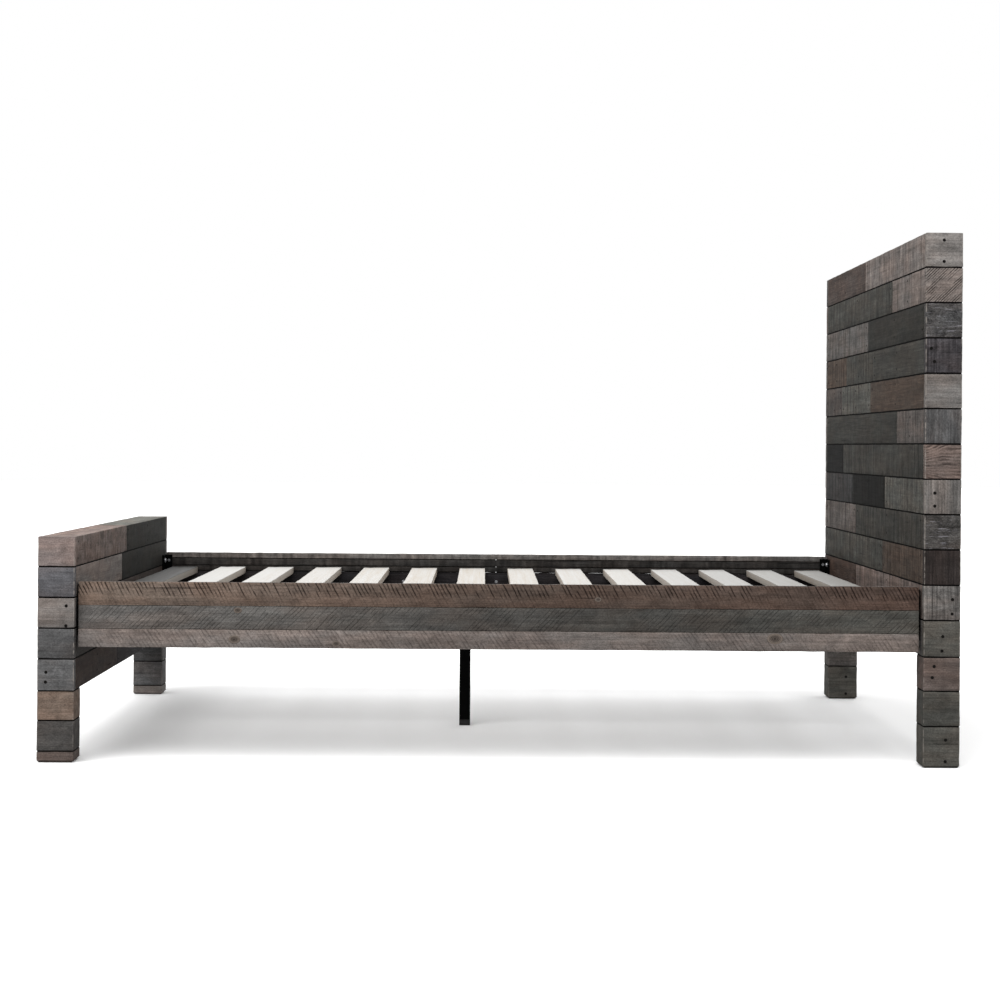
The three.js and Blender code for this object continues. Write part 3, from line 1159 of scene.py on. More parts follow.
@dataclass
class NailBox:
    """Makes nail heads and keeps them together until they are joined."""

    finishes: Finishes
    radius: float = 3.9 * MM
    small: float = 0.7
    height: float = 2.0 * MM
    proud: float = 0.5 * MM
    heads: list = field(default_factory=list)

    def __post_init__(self) -> None:
        """Model one domed head, pointing up."""
        self.master = add_rod(12, self.radius, self.height, Vector())
        bpy.ops.object.mode_set(mode="EDIT")
        select_faces(self.master, faces_up)
        bpy.ops.mesh.inset(thickness=self.radius * 0.25, depth=0.15 * MM)
        bpy.ops.mesh.inset(thickness=self.radius * 0.3, depth=-0.25 * MM)
        bpy.ops.object.mode_set(mode="OBJECT")
        self.master.data.materials.append(self.finishes.nail)
        self.master.name = "nail_master"

    def drive(self, place: Vector, out: Vector, size: float = 1.0) -> None:
        """Drive a nail into a face.

        Args:
            place: where it goes in.
            out: the way that the face points.
            size: its head's size, as a share of the largest.
        """
        sink = out * (self.proud - self.height / 2)
        matrix = Matrix.Translation(place + sink) @ turned_to(out) @ Matrix.Diagonal((size, size, 1.0, 1.0))
        self.heads.append(place_copy(self.master, matrix, f"nail_{len(self.heads):03d}"))

    def finish(self, name: str) -> None:
        """Join all the heads driven so far into one piece.

        Args:
            name: the piece's name.
        """
        piece = join(self.heads, name)
        smooth(piece)
        finish_piece(piece, "root", Slot.STEEL)
        self.heads = []


# ---------------------------------------------------------------- headboard and footboard


def planks(*parts: tuple, face: Surface = Surface.PLANED, top: float | None = None) -> list[Plank]:
    """Read a row of planks, each written as its tone, share, shade and, where it differs, its face.

    Args:
        parts: one short tuple for each plank.
        face: the face of the planks that name none.
        top: the shade of their tops, where it differs from the painted shade of their faces.

    Returns:
        The planks.
    """
    row = []
    for tone, share, shade, *surface in parts:
        row.append(Plank(tone, share, surface[0] if surface else face, (shade,), top=top))
    return row


@dataclass
class Board:
    """A headboard or footboard: stacked courses with a block on each end, on two legs."""

    name: str
    courses: list
    left_blocks: list
    right_blocks: list
    left_leg: list
    right_leg: list
    marks: dict
    mill: Sawmill
    nails: NailBox
    shadow_strip_inset: float = 1.1 * MM
    shadow_strip_overlap: float = 1.5 * MM
    core_inset: float = 10.0 * MM
    core_above_floor: float = 8.0 * MM
    nail_chance: float = 0.55
    nail_inset: float = 28.0 * MM
    nail_rises: tuple = (0.22, 0.80)
    right_marks_from: int = 3

    def build(self) -> None:
        """Build the courses, the legs and their nails."""
        for index, row in enumerate(self.courses):
            self._course(index, row)
        for side in (-1, 1):
            self._leg(side)
        self.nails.finish(f"{self.name}_nails")

    def _course(self, index: int, row: list[Plank]) -> None:
        """Build one course: its face planks, its two end blocks and the strip of painted shadow below it.

        Args:
            index: its number from the top, from 0.
            row: its planks from left to right.
        """
        node = f"{self.name}_course_{index + 1:02d}"
        low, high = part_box(node)
        lowest = index == len(self.courses) - 1
        bottom = low.z + (0.0 if lowest else COURSE_GAP)
        inner_low = Vector((low.x, low.y + END_BLOCK, bottom))
        inner_high = Vector((high.x, high.y - END_BLOCK, high.z))
        timbers = self.mill.row(inner_low, inner_high, "y", row)
        left = Vector((high.x, low.y + END_BLOCK - JOINT_GAP, high.z))
        right = Vector((low.x, high.y - END_BLOCK + JOINT_GAP, bottom))
        timbers.append(self._block(Vector((low.x, low.y, bottom)), left, self.left_blocks[index]))
        timbers.append(self._block(right, high.copy(), self.right_blocks[index]))
        if not lowest:
            timbers.append(self._painted_gap_shadow(low, high, bottom))
        piece = join(timbers, f"{node}_planks")
        smooth(piece)
        finish_piece(piece, "root", (Slot.GREY, Slot.BROWN, Slot.DARK)[index % 3], node)
        self._nail_course(index, low, high, bottom)

    def _block(self, low: Vector, high: Vector, plank: Plank) -> Piece:
        """Make an end block, whose grain runs upright where it is streaked, and across otherwise."""
        along = "z" if plank.surface is Surface.STREAKED else "x"
        return self.mill.timber(low, high, along, plank, edge=BLOCK_EDGE, worn=1.0)

    def _painted_gap_shadow(self, low: Vector, high: Vector, bottom: float) -> Piece:
        """Make the strip of painted shadow between a course, whose timbers start at bottom, and the one below.
        """
        inset = Vector((self.shadow_strip_inset, self.shadow_strip_inset, -self.shadow_strip_overlap))
        return self.mill.core(low + inset, Vector((high.x, high.y, bottom)) - inset)

    def _nail_course(self, index: int, low: Vector, high: Vector, bottom: float) -> None:
        """Drive pairs of nails into the end blocks and near the ends of the face planks.

        Args:
            index: the course's number from the top, from 0.
            low: the course's lowest corner.
            high: its highest corner.
            bottom: where its timbers start.
        """
        draw = random.Random(f"{self.name}{index}")
        heights = [bottom + (high.z - bottom) * rise for rise in self.nail_rises]
        self._nail_block(index, low, high)
        start = low.y + END_BLOCK
        length = high.y - low.y - 2 * END_BLOCK
        for plank in self.courses[index]:
            end = start + length * plank.share / sum(p.share for p in self.courses[index])
            ends = (start + self.nail_inset, end - self.nail_inset, (start + end) / 2)
            for face, x in ((1, high.x), (-1, low.x)):
                for y in ends:
                    if draw.random() < self.nail_chance:
                        for z in heights:
                            slip = Vector((0.0, draw.uniform(-4, 4) * MM, draw.uniform(-3, 3) * MM))
                            place = Vector((x, y, z)) + slip
                            self.nails.drive(place, Vector((face, 0, 0)), self.nails.small)
            start = end

    def _nail_block(self, index: int, low: Vector, high: Vector) -> None:
        """Drive the nails of one block on both side faces.

        Args:
            index: the block's number from the top, from 0.
            low: the block's lowest corner.
            high: its highest corner.
        """
        for side, number, y in ((-1, index, low.y), (1, index + self.right_marks_from, high.y)):
            for share, rise in self.marks.get(number, ()):
                x = low.x + (high.x - low.x) * share
                z = low.z + (high.z - low.z) * rise
                self.nails.drive(Vector((x, y, z)), Vector((0, side, 0)))

    def _leg(self, side: int) -> None:
        """Build one leg as a stack of blocks below the courses.

        Args:
            side: -1 for the left leg, 1 for the right.
        """
        word = "left" if side < 0 else "right"
        node = f"{self.name}_leg_{word}"
        low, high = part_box(node)
        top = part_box(f"{self.name}_course_{len(self.courses):02d}")[0].z
        timbers = []
        start = 0.0
        blocks = self.left_leg if side < 0 else self.right_leg
        for number, (height, plank) in enumerate(blocks):
            a = Vector((low.x, low.y, start + (COURSE_GAP if number else 0.0)))
            b = Vector((high.x, high.y, top - COURSE_GAP if number == len(blocks) - 1 else start + height))
            timbers.append(self.mill.timber(a, b, "x", plank, BLOCK_EDGE, worn=0.5, foot=number == 0))
            self._nail_block(len(self.courses) + len(blocks) - 1 - number, a, b)
            start += height
        # A near-black core and strips in the joints: painted shadow seen through the gaps between the blocks.
        core_low = low + Vector((self.core_inset, self.core_inset, self.core_above_floor))
        core_high = Vector((high.x - self.core_inset, high.y - self.core_inset, top - 1.0 * MM))
        timbers.append(self.mill.core(core_low, core_high))
        lines = [sum(height for height, _ in blocks[:number]) for number in range(1, len(blocks))]
        for line in (*lines, top - COURSE_GAP):
            inset = Vector((self.shadow_strip_inset, self.shadow_strip_inset, 0.0))
            joint_low = Vector((low.x, low.y, line - self.shadow_strip_overlap)) + inset
            joint_high = Vector((high.x, high.y, line + COURSE_GAP + 1.0 * MM)) - inset
            timbers.append(self.mill.core(joint_low, joint_high))
        piece = join(timbers, f"{node}_blocks")
        smooth(piece)
        finish_piece(piece, "root", Slot.GREY, node)


# ---------------------------------------------------------------- rails, cleats and slats


@dataclass
class SideRail:
    """A side rail of three outer planks, backed by strips on the side of the mattress."""

    side: int
    planks: dict
    mill: Sawmill
    backing: float = 11.0 * MM
    strip_heights: tuple = (17.5 * MM, 22.0 * MM)
    groove: float = 2.5 * MM
    seam: float = 0.2 * MM
    dark_shade: float = 0.3
    top_strip_shade: float = 0.72
    strip_shade: float = 0.20

    def build(self) -> None:
        """Build the three planks with their backing."""
        word = "left" if self.side < 0 else "right"
        for level, row in self.planks.items():
            node = f"side_rail_{word}_{level}_plank"
            low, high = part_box(node)
            outer_low, outer_high = low.copy(), Vector((high.x, high.y, high.z - self.seam))
            inner_low, inner_high = outer_low.copy(), outer_high.copy()
            if self.side < 0:
                outer_high.y = high.y - self.backing
                inner_low.y = outer_high.y + self.seam
            else:
                outer_low.y = low.y + self.backing
                inner_high.y = outer_low.y - self.seam
            timbers = self.mill.row(outer_low, outer_high, "x", row)
            timbers += self._backing(level, inner_low, inner_high)
            piece = join(timbers, f"{node}_boards")
            smooth(piece)
            finish_piece(piece, "root", Slot.BROWN if level == "top" else Slot.GREY, node)

    def _backing(self, level: str, low: Vector, high: Vector) -> list[Piece]:
        """Back a plank with strips, narrow ones behind the top plank.

        Args:
            level: which plank it backs.
            low: the backing's lowest corner.
            high: its highest corner.

        Returns:
            The strips.
        """
        if level != "top":
            return [self.mill.timber(low, high, "x", Plank(Tone.CHARCOAL, shades=(self.dark_shade,)))]
        strips = []
        top = high.z
        for height in (*self.strip_heights, high.z - low.z - sum(self.strip_heights)):
            a = Vector((low.x, low.y, top - height + self.groove))
            b = Vector((high.x, high.y, top))
            shade = self.strip_shade if strips else self.top_strip_shade
            strip = Plank(Tone.STONE, surface=Surface.BANDED, shades=(shade,))
            strips.append(self.mill.timber(a, b, "x", strip))
            top -= height
        return strips


@dataclass
class SlattedDeck:
    """The slats and the cleats that they lie on."""

    finishes: Finishes
    mill: Sawmill
    count: int = 14
    shade: float = 0.58
    # Painted light: the first slat's top takes a painted shadow of the footboard, and the last slats a painted
    # dimming.
    shade_by_footboard: float = 0.08
    dim_slats: int = 4
    painted_dimming: float = 0.055
    top_tint: Triple = (0.97, 1.0, 1.05)
    side_tint: Triple = (1.03, 0.97, 0.93)
    darkest_side: float = 0.30
    cleat_shade: float = 0.3
    edge: float = 2.2 * MM
    top_skin: float = 1.2 * MM

    def build(self) -> None:
        """Build the cleats, model one slat and copy it to every place."""
        for word in ("left", "right"):
            node = f"slat_cleat_{word}"
            low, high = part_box(node)
            batten = self.mill.timber(low, high, "x", Plank(Tone.CHARCOAL, shades=(self.cleat_shade,)))
            piece = join([batten], f"{node}_batten")
            smooth(piece)
            finish_piece(piece, "root", Slot.DARK, node)
        master = self._model_slat()
        for number in range(1, self.count + 1):
            self._lay_slat(master, number)
        discard(master)

    def _model_slat(self) -> Piece:
        """Model one slat, planed pale, in the place of the first.

        Returns:
            The slat, to be copied.
        """
        low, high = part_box("slat_01")
        master = self.mill.timber(low, high, "y", Plank(Tone.PALE_ASH), edge=self.edge)
        master.data.materials.clear()
        master.data.materials.append(self.finishes.raw_pine)
        smooth(master)
        master.name = "slat_master"
        return master

    def _shade_with_painted_light(self, number: int) -> float:
        """Choose a slat's shade: painted shadow by the footboard, painted dimming one by one to the headboard.

        Args:
            number: the slat's number from the foot, from 1.

        Returns:
            The shade, as a factor.
        """
        if number == 1:
            return self.shade_by_footboard
        return self.shade - self.painted_dimming * max(0, self.dim_slats - (self.count - number))

    def _lay_slat(self, master: Piece, number: int) -> None:
        """Lay a copy of the slat, with a grain and a shade of its own that carries painted light.

        Args:
            master: the slat to copy.
            number: its number from the foot, from 1.
        """
        node = f"slat_{number:02d}"
        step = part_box(node)[0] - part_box("slat_01")[0]
        piece = place_copy(master, Matrix.Translation(step), f"{node}_board")
        shade = self._shade_with_painted_light(number)
        # The top takes the full shade, painted light included; the sides get 0.85 of it, warmer, but no less
        # than darkest_side, so the first slat's sides stay pale under its painted shadow.
        top = Vector(self.top_tint) * shade
        side = Vector(self.side_tint) * max(self.darkest_side, shade * 0.85)
        shift = Vector((3.7 * number, 0.31 * number, 0.0))
        grain = [c for entry in piece.data.attributes["grain"].data for c in entry.vector + shift]
        piece.data.attributes["grain"].data.foreach_set("vector", grain)
        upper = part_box(node)[1].z - self.top_skin
        tone = [c for vertex in piece.data.vertices for c in (top if vertex.co.z > upper else side)]
        piece.data.attributes["tone"].data.foreach_set("vector", tone)
        finish_piece(piece, "root", Slot.SLAT, node)


@dataclass
class Knots:
    """Branch knots in the rails, modelled once and copied."""

    finishes: Finishes
    radius: float = 9.0 * MM
    depth: float = 3.0 * MM
    proud: float = 0.55 * MM
    longer: float = 1.5
    places: tuple = (
        (-0.637, 0.370, 0.75),
        (-0.645, 0.299, 1.05),
        (-0.397, 0.290, 0.75),
        (0.672, 0.309, 1.45),
        (0.240, 0.402, 0.60),
    )

    def build(self) -> None:
        """Set the knots into the outer faces of both rails."""
        master = self._model()
        knots = []
        for side, node in ((-1, "side_rail_left_top_plank"), (1, "side_rail_right_top_plank")):
            low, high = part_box(node)
            face = low.y if side < 0 else high.y
            for x, z, size in self.places:
                place = Vector((x * -side, face + side * (self.proud - self.depth / 2), z))
                stretch = Matrix.Diagonal((self.longer * size, 1.0, size, 1.0))
                matrix = Matrix.Translation(place) @ stretch @ turned_to(Vector((0, side, 0)))
                knots.append(place_copy(master, matrix, f"knot_{len(knots)}"))
        discard(master)
        finish_piece(join(knots, "rail_knots"), "root", Slot.BROWN)

    def _model(self) -> Piece:
        """Model one knot: a low dome of three rings, which keeps its own place as "grain".

        Returns:
            The knot, pointing up.
        """
        knot = add_rod(24, self.radius, self.depth, Vector())
        bpy.ops.object.mode_set(mode="EDIT")
        select_faces(knot, faces_up)
        for share, lift in ((0.12, 0.10), (0.25, 0.12), (0.30, -0.20)):
            bpy.ops.mesh.inset(thickness=self.radius * share, depth=lift * MM)
        bpy.ops.object.mode_set(mode="OBJECT")
        grain = [c for vertex in knot.data.vertices for c in vertex.co]
        knot.data.attributes.new("grain", "FLOAT_VECTOR", "POINT").data.foreach_set("vector", grain)
        knot.data.materials.append(self.finishes.knot)
        knot.name = "knot_master"
        smooth(knot)
        return knot


# ---------------------------------------------------------------- steel pieces


@dataclass
class ScrewRack:
    """Models each kind of screw head once, for its copies to be made from."""

    finishes: Finishes
    bolt_radius: float = 7.3 * MM
    bolt_height: float = 4.4 * MM
    socket: float = 3.4 * MM
    shank: float = 4.8 * MM
    shank_length: float = 40.0 * MM
    shank_overlap: float = 0.2 * MM
    crown: float = 0.86
    screw_radius: float = 4.6 * MM
    screw_height: float = 2.6 * MM

    def __post_init__(self) -> None:
        """Model the masters, pointing up from the surface that they sit on."""
        self.bolt = self._head("bolt_master", self.bolt_radius, self.bolt_height, self.socket)
        self.screw = self._head("screw_master", self.screw_radius, self.screw_height, self.socket * 0.55)
        self._add_shank()

    def _head(self, name: str, radius: float, height: float, socket: float) -> Piece:
        """Model a round head on a washer, with a sunken socket.

        Args:
            name: the master's name.
            radius: the washer's radius.
            height: how far the head stands out.
            socket: the socket's half width.

        Returns:
            The head, standing on the origin.
        """
        washer = height * 0.25
        rise = height - washer
        piece = add_rod(24, radius, washer, Vector((0, 0, washer / 2)))
        bpy.ops.object.mode_set(mode="EDIT")
        select_faces(piece, faces_up)
        bpy.ops.mesh.inset(thickness=radius * 0.16)
        extrude(rise * 0.6)
        extrude(rise * 0.4)
        bpy.ops.transform.resize(value=(self.crown, self.crown, 1.0))
        bpy.ops.mesh.inset(thickness=max(0.2 * MM, radius * 0.84 * self.crown - socket))
        extrude(-height * 0.55)
        bpy.ops.object.mode_set(mode="OBJECT")
        piece.data.materials.append(self.finishes.zinc)
        piece.name = name
        smooth(piece, 40.0)
        return piece

    def _add_shank(self) -> None:
        """Give the bolt its shank, whose end is chamfered."""
        centre = Vector((0, 0, self.shank_overlap - self.shank_length / 2))
        shank = add_rod(20, self.shank, self.shank_length, centre)
        bpy.ops.object.mode_set(mode="EDIT")
        select_faces(shank, faces_down)
        bpy.ops.mesh.inset(thickness=self.shank * 0.2, depth=0.8 * MM)
        bpy.ops.object.mode_set(mode="OBJECT")
        shank.data.materials.append(self.finishes.zinc)
        smooth(shank)
        self.bolt = join([self.bolt, shank], "bolt_master")

    @staticmethod
    def placed(place: Vector, out: Vector) -> Matrix:
        """Work out how a head goes onto a surface that points out."""
        return Matrix.Translation(place) @ turned_to(out)

    def tidy(self) -> None:
        """Put the masters away."""
        discard(self.bolt)
        discard(self.screw)


@dataclass
class Ironwork:
    """Brackets, bolts, the centre beam and the centre leg with its leveller."""

    finishes: Finishes
    head_height: float = 4.5 * MM
    flange: float = 4.0 * MM
    flange_screw_inset: float = 14.0 * MM
    screw_levels: tuple = (340.0 * MM, 413.0 * MM)
    end_plate: float = 4.0 * MM
    end_screw_reach: float = 27.0 * MM
    end_screw_level: float = 342.0 * MM
    cleat_screws: int = 7
    thread_pitch: float = 1.5 * MM
    thread_depth: float = 0.85 * MM
    thread_sides: int = 24
    thread_steps: int = 6
    pad_rim: float = 2.5 * MM
    pad_moat: float = 2.0 * MM
    pad_hollow: float = 1.2 * MM
    sole_rim: float = 3.0 * MM
    sole_hollow: float = 1.0 * MM

    def build(self) -> None:
        """Dress the solids that stay, and build the finer pieces."""
        for name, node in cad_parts.items():
            if name.startswith(("corner_bracket", "centre_beam", "centre_leg_tube")):
                self._dress(node, self.finishes.steel)
            elif name == "centre_leg_insert":
                self._dress(node, self.finishes.plastic)
        rack = ScrewRack(self.finishes)
        self._corner_bolts(rack)
        self._small_screws(rack)
        rack.tidy()
        self._leveller_pad()
        self._leveller_screw()

    @staticmethod
    def _dress(node: Piece, material: bpy.types.Material) -> None:
        """Give a solid of the frame a finish."""
        node.data.materials.clear()
        node.data.materials.append(material)

    def _corner_bolts(self, rack: ScrewRack) -> None:
        """Copy the bolt to the eight places where the brackets meet the boards.

        Args:
            rack: the rack that holds the bolt.
        """
        for name in sorted(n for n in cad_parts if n.startswith("corner_bolt")):
            low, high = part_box(name)
            middle = (low + high) / 2
            out = -1 if "headboard" in name else 1
            seat = low.x + self.head_height if out < 0 else high.x - self.head_height
            matrix = rack.placed(Vector((seat, middle.y, middle.z)), Vector((out, 0, 0)))
            finish_piece(place_copy(rack.bolt, matrix, f"{name}_socket_head"), "root", Slot.BOLT, name)

    def _small_screws(self, rack: ScrewRack) -> None:
        """Drive the screws of the brackets, the centre beam and the cleats.

        Args:
            rack: the rack that holds the screw.
        """
        groups = {"bracket_screws": [], "beam_screws": [], "cleat_screws": []}
        for board, end in (("headboard", 1), ("footboard", -1)):
            for word, side in (("left", -1), ("right", 1)):
                low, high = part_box(f"corner_bracket_{board}_{word}")
                x = (high.x if end > 0 else low.x) - end * self.flange_screw_inset
                y = (low.y if side < 0 else high.y) - side * self.flange
                for z in self.screw_levels:
                    groups["bracket_screws"].append((Vector((x, y, z)), Vector((0, -side, 0))))
        low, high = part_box("centre_beam")
        for x, out in ((low.x + self.end_plate, 1), (high.x - self.end_plate, -1)):
            for y in (-self.end_screw_reach, self.end_screw_reach):
                groups["beam_screws"].append((Vector((x, y, self.end_screw_level)), Vector((out, 0, 0))))
        for word, side in (("left", -1), ("right", 1)):
            low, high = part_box(f"slat_cleat_{word}")
            y = high.y if side < 0 else low.y
            for number in range(self.cleat_screws):
                x = low.x + (high.x - low.x) * (number + 0.5) / self.cleat_screws
                z = (low.z + high.z) / 2
                groups["cleat_screws"].append((Vector((x, y, z)), Vector((0, -side, 0))))
        for name, places in groups.items():
            heads = [place_copy(rack.screw, rack.placed(*p), f"{name}_{i}") for i, p in enumerate(places)]
            finish_piece(join(heads, name), "root", Slot.BOLT)

    def _leveller_pad(self) -> None:
        """Model the leveller's moulded foot, with a hollow sole and a raised collar."""
        low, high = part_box("leveller_pad")
        pad = add_block(low, high)
        bpy.ops.object.mode_set(mode="EDIT")
        select_faces(pad, faces_up)
        bpy.ops.mesh.inset(thickness=self.pad_rim)
        extrude(-self.pad_hollow)
        bpy.ops.mesh.inset(thickness=self.pad_moat)
        extrude(self.pad_hollow)
        select_faces(pad, faces_down)
        bpy.ops.mesh.inset(thickness=self.sole_rim)
        extrude(self.sole_hollow)
        bpy.ops.object.mode_set(mode="OBJECT")
        modifier = pad.modifiers.new("moulded edges", "BEVEL")
        modifier.width = 0.6 * MM
        modifier.segments = 3
        apply_modifiers(pad)
        pad.data.materials.append(self.finishes.plastic)
        pad.name = "leveller_foot"
        smooth(pad)
        finish_piece(pad, "leveller_pad", Slot.PLASTIC, "leveller_pad")

    def _leveller_screw(self) -> None:
        """Cut the leveller's thread: a cylinder whose rings follow a helix."""
        low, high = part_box("leveller_screw")
        radius = (high.x - low.x) / 2
        length = high.z - low.z
        centre = (low + high) / 2
        screw = add_rod(self.thread_sides, radius, length, centre)
        bpy.ops.object.mode_set(mode="EDIT")
        select_edges(screw, lambda e: abs(e.verts[0].co.z - e.verts[1].co.z) > length / 2)
        steps = round(length / self.thread_pitch * self.thread_steps)
        bpy.ops.mesh.subdivide(number_cuts=steps - 1)
        bpy.ops.object.mode_set(mode="OBJECT")
        for vertex in screw.data.vertices:
            across = Vector((vertex.co.x - centre.x, vertex.co.y - centre.y))
            turn = math.atan2(across.y, across.x) / math.tau
            phase = ((vertex.co.z - low.z) / self.thread_pitch - turn) % 1.0
            flank = abs(2.0 * phase - 1.0)
            taper = min(1.0, (vertex.co.z - low.z) / MM, (high.z - vertex.co.z) / MM)
            keep = 1.0 - self.thread_depth / radius * (1.0 - flank * taper)
            vertex.co.x = centre.x + across.x * keep
            vertex.co.y = centre.y + across.y * keep
        screw.data.materials.append(self.finishes.zinc)
        screw.name = "leveller_thread"
        smooth(screw, 50.0)
        finish_piece(screw, "leveller_screw", Slot.BOLT, "leveller_screw")


# ---------------------------------------------------------------- studio


@dataclass
class Studio:
    """Floor, lights and camera."""

    lens: float = 83.88
    eye_height: float = 0.7738
    eye_distance: float = 5.649
    eye_offset: float = -0.0405
    yaw: float = 0.391
    roll: float = 0.415
    rise: float = -0.0538
    light_from_below: float = 0.12
    light_from_above: float = 1.0
    fade: tuple = (-0.40, -0.06)
    floor_size: float = 80.0
    floor_drop: float = 0.5 * MM
    key_from: tuple = (-0.22, -0.60, 0.77)
    key_strength: float = 3.0
    key_softness: float = 50.0
    fill_from: tuple = (0.35, 0.80, 0.48)
    fill_strength: float = 0.6
    fill_softness: float = 70.0

    def build(self) -> None:
        """Build the studio round the bed frame."""
        self._floor()
        self._sky()
        self._sun("key", self.key_from, self.key_strength, self.key_softness)
        self._sun("fill", self.fill_from, self.fill_strength, self.fill_softness)
        self._camera()

    def _floor(self) -> None:
        """Lay a plain pale floor under the feet."""
        level = CAD_BOX[0][2] - self.floor_drop
        bpy.ops.mesh.primitive_plane_add(size=self.floor_size, location=(0, 0, level))
        floor = bpy.context.view_layer.objects.active
        floor.name = "studio_floor"
        shader = Shader("studio_white")
        shader.surface.inputs["Base Color"].default_value = (0.9, 0.9, 0.9, 1.0)
        shader.gloss(0.1, roughness=0.9)
        floor.data.materials.append(shader.material)
        floor.visible_diffuse = False

    def _sky(self) -> None:
        """Surround the studio with soft white light that fades out below the horizon."""
        world = bpy.data.worlds.new("studio_sky")
        bpy.context.scene.world = world
        world.use_nodes = True
        nodes, links = world.node_tree.nodes, world.node_tree.links
        direction = nodes.new("ShaderNodeTexCoord")
        parts = nodes.new("ShaderNodeSeparateXYZ")
        fade = nodes.new("ShaderNodeMapRange")
        bounds = (*self.fade, self.light_from_below, self.light_from_above)
        for name, bound in zip(("From Min", "From Max", "To Min", "To Max"), bounds):
            fade.inputs[name].default_value = bound
        links.new(direction.outputs["Generated"], parts.inputs["Vector"])
        links.new(parts.outputs["Z"], fade.inputs["Value"])
        links.new(fade.outputs["Result"], nodes["Background"].inputs["Strength"])
        nodes["Background"].inputs["Color"].default_value = (1.0, 1.0, 1.0, 1.0)

    @staticmethod
    def _sun(name: str, toward: tuple, strength: float, softness: float) -> None:
        """Light the bed with one wide, soft lamp.

        Args:
            name: the lamp's name.
            toward: where it stands, as a direction.
            strength: its strength.
            softness: how wide it looks, in degrees.
        """
        data = bpy.data.lights.new(name, "SUN")
        data.energy = strength
        data.angle = math.radians(softness)
        lamp = bpy.data.objects.new(name, data)
        lamp.matrix_world = Vector(toward).to_track_quat("Z", "Y").to_matrix().to_4x4()
        bpy.context.scene.collection.objects.link(lamp)

    def _camera(self) -> None:
        """Set the camera at the side of the bed."""
        data = bpy.data.cameras.new("camera")
        data.lens = self.lens
        data.shift_y = self.rise
        camera = bpy.data.objects.new("camera", data)
        turn = (
            Matrix.Rotation(-math.radians(self.yaw), 4, "Z")
            @ Matrix.Rotation(math.pi / 2, 4, "X")
            @ Matrix.Rotation(math.radians(self.roll), 4, "Z")
        )
        place = Vector((self.eye_offset, CAD_BOX[0][1] - self.eye_distance, self.eye_height))
        camera.matrix_world = Matrix.Translation(place) @ turn
        bpy.context.scene.collection.objects.link(camera)
        bpy.context.scene.camera = camera
        bpy.context.scene.view_settings.view_transform = "Standard"


# ---------------------------------------------------------------- the bed


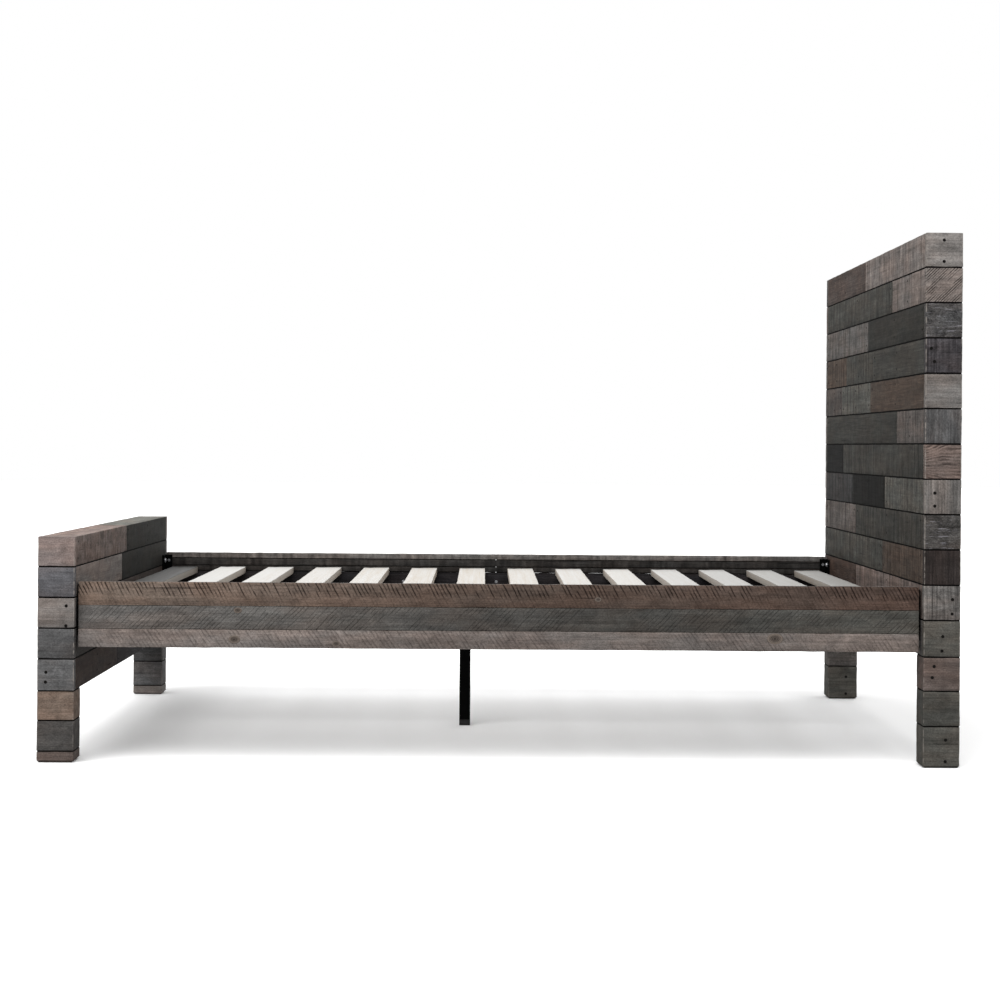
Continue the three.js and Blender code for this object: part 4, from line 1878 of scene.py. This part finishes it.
def headboard(mill: Sawmill, nails: NailBox) -> Board:
    """Choose the headboard's timbers, from the top course down and from left to right.

    Args:
        mill: what makes the timbers.
        nails: what makes the nails.

    Returns:
        The headboard.
    """
    # Each shade is partly the plank's own tone and partly painted shade, set darker where the inner faces and
    # the far planks lay in shade.
    rows = [
        ((Tone.WARM_ASH, 0.55, 0.95), (Tone.UMBER, 0.45, 0.50, Surface.STREAKED)),
        ((Tone.WARM_ASH, 0.28, 0.85), (Tone.OLIVE_SLATE, 0.72, 0.60)),
        ((Tone.OLIVE_SLATE, 0.52, 0.30, Surface.STREAKED), (Tone.STONE, 0.48, 0.75)),
        (
            (Tone.OLIVE_SLATE, 0.47, 0.50, Surface.STREAKED),
            (Tone.OLIVE_SLATE, 0.29, 0.55),
            (Tone.TAN, 0.24, 0.35),
        ),
        (
            (Tone.TAN, 0.49, 0.30, Surface.STREAKED),
            (Tone.OLIVE_SLATE, 0.32, 0.85),
            (Tone.WARM_ASH, 0.19, 0.40),
        ),
        ((Tone.WARM_ASH, 0.23, 0.50), (Tone.OLIVE_SLATE, 0.77, 0.40, Surface.STREAKED)),
        ((Tone.OLIVE_SLATE, 0.79, 0.45), (Tone.SLATE, 0.21, 0.08)),
        (
            (Tone.OLIVE_SLATE, 0.34, 0.85, Surface.BANDED),
            (Tone.OLIVE_SLATE, 0.34, 0.08),
            (Tone.SLATE, 0.32, 0.40),
        ),
        ((Tone.OLIVE_SLATE, 0.64, 0.45), (Tone.WARM_ASH, 0.36, 0.50)),
        ((Tone.TAN, 0.36, 0.30), (Tone.OLIVE_SLATE, 0.64, 0.60, Surface.BANDED)),
        ((Tone.UMBER, 0.63, 0.85), (Tone.RUSSET, 0.37, 0.40, Surface.FIGURED)),
        ((Tone.STONE, 0.50, 0.90), (Tone.UMBER, 0.50, 0.85)),
    ]
    courses = [planks(*row, face=Surface.BANDED) for row in rows]
    left = planks(
        (Tone.PALE_ASH, 1.0, 0.90),
        (Tone.WARM_ASH, 1.0, 0.95, Surface.HATCHED),
        (Tone.SLATE, 1.0, 0.70, Surface.SCRATCHED),
        (Tone.CHARCOAL, 1.0, 0.90, Surface.RIBBED),
        (Tone.STONE, 1.0, 1.10),
        (Tone.SLATE, 1.0, 0.90, Surface.STREAKED),
        (Tone.UMBER, 1.0, 0.80, Surface.FIGURED),
        (Tone.STONE, 1.0, 0.90, Surface.STREAKED),
        (Tone.STONE, 1.0, 0.40, Surface.SCRATCHED),
        (Tone.SOOT, 1.0, 0.80, Surface.STREAKED),
        (Tone.STONE, 1.0, 0.80, Surface.RIBBED),
        (Tone.OLIVE_SLATE, 1.0, 0.80),
    )
    right = left[5:] + left[:5]
    left_leg = [
        (98.8 * MM, Plank(Tone.OLIVE_SLATE, shades=(0.75,))),
        (85.8 * MM, Plank(Tone.OLIVE_SLATE, shades=(0.65,))),
        (85.8 * MM, Plank(Tone.UMBER, shades=(0.70,))),
    ]
    right_leg = [
        (98.8 * MM, Plank(Tone.OLIVE_SLATE, shades=(0.95,))),
        (85.8 * MM, Plank(Tone.STONE, shades=(0.70,))),
        (85.8 * MM, Plank(Tone.UMBER, shades=(0.55,))),
    ]
    marks = {
        0: ((0.485, 0.79), (0.485, 0.185)),
        3: ((0.15, 0.725), (0.24, 0.35)),
        7: ((0.275, 0.63), (0.275, 0.26)),
        10: ((0.78, 0.62), (0.77, 0.21)),
        11: ((0.52, 0.57), (0.5, 0.16)),
        12: ((0.29, 0.74), (0.24, 0.4)),
        14: ((0.615, 0.69), (0.61, 0.16)),
    }
    return Board("headboard", courses, left, right, left_leg, right_leg, marks, mill, nails)


def footboard(mill: Sawmill, nails: NailBox) -> Board:
    """Choose the footboard's timbers, from the top course down and from left to right.

    Args:
        mill: what makes the timbers.
        nails: what makes the nails.

    Returns:
        The footboard.
    """
    # As on the headboard, the shades are partly the planks' own tones and partly painted shade; the top
    # course's tops keep a lighter shade of their own.
    courses = [
        planks((Tone.UMBER, 0.50, 0.90, Surface.RIBBED), (Tone.OLIVE_SLATE, 0.50, 0.25), top=1.45),
        planks((Tone.WARM_ASH, 0.45, 0.80), (Tone.OLIVE_SLATE, 0.55, 0.25)),
        planks((Tone.SLATE, 0.35, 0.40), (Tone.UMBER, 0.65, 0.30)),
        planks((Tone.STONE, 0.60, 0.30), (Tone.SLATE, 0.40, 0.40)),
        planks((Tone.UMBER, 0.40, 0.30), (Tone.CHARCOAL, 0.60, 0.50)),
    ]
    left = planks(
        (Tone.ROSE_ASH, 1.0, 0.80),
        (Tone.BLUE_SLATE, 1.0, 0.70),
        (Tone.PALE_ASH, 1.0, 0.70),
        (Tone.SLATE, 1.0, 1.00),
        (Tone.SLATE, 1.0, 1.25),
    )
    right = left[2:] + left[:2]
    left_leg = [
        (25.5 * MM, Plank(Tone.UMBER, shades=(0.65,))),
        (74.5 * MM, Plank(Tone.STONE, shades=(0.45,))),
        (74.5 * MM, Plank(Tone.TAN, shades=(0.75,))),
    ]
    right_leg = [
        (25.5 * MM, Plank(Tone.STONE, shades=(1.00,))),
        (74.5 * MM, Plank(Tone.SLATE, shades=(1.10,))),
        (74.5 * MM, Plank(Tone.SLATE, shades=(1.05,))),
    ]
    marks = {2: ((0.78, 0.75), (0.775, 0.10)), 4: ((0.24, 0.59), (0.23, 0.27))}
    return Board("footboard", courses, left, right, left_leg, right_leg, marks, mill, nails)


def rails(mill: Sawmill) -> list[SideRail]:
    """Choose the timbers of the two side rails, from the foot of the bed to its head.

    Args:
        mill: what makes the timbers.

    Returns:
        The left and the right rail.
    """
    near = {
        "top": [
            Plank(
                Tone.TAN,
                surface=Surface.SAWN_BACK,
                shades=(0.80, 0.65, 0.55, 0.45, 0.60, 0.55),
                far_tone=Tone.RUSSET,
            )
        ],
        "middle": [
            Plank(
                Tone.STONE,
                surface=Surface.SAWN_FORWARD,
                shades=(0.80, 0.80, 0.60, 0.45, 0.55, 0.80),
                far_tone=Tone.OLIVE_SLATE,
            )
        ],
        "bottom": [
            Plank(
                Tone.WARM_ASH,
                surface=Surface.SAWN_LOW,
                shades=(0.90, 0.80, 0.70, 0.75),
            )
        ],
    }
    far = {
        "top": planks((Tone.STONE, 0.5, 0.60, Surface.SAWN_BACK), (Tone.UMBER, 0.5, 0.60)),
        "middle": planks((Tone.SLATE, 0.6, 0.80), (Tone.STONE, 0.4, 0.50, Surface.SAWN_FORWARD)),
        "bottom": planks((Tone.UMBER, 0.4, 0.60), (Tone.SLATE, 0.6, 0.80, Surface.SAWN_LOW)),
    }
    return [SideRail(-1, near, mill), SideRail(1, far, mill)]


def main() -> None:
    """Build the bed frame and its studio in order; each piece's face count is logged."""
    logging.basicConfig(level=logging.INFO, format="%(name)s: %(message)s")
    Studio().build()
    finishes = Finishes()
    mill = Sawmill(finishes)
    nails = NailBox(finishes)
    headboard(mill, nails).build()
    footboard(mill, nails).build()
    for rail in rails(mill):
        rail.build()
    Knots(finishes).build()
    SlattedDeck(finishes, mill).build()
    Ironwork(finishes).build()
    discard(nails.master)


if __name__ == "__main__":
    main()
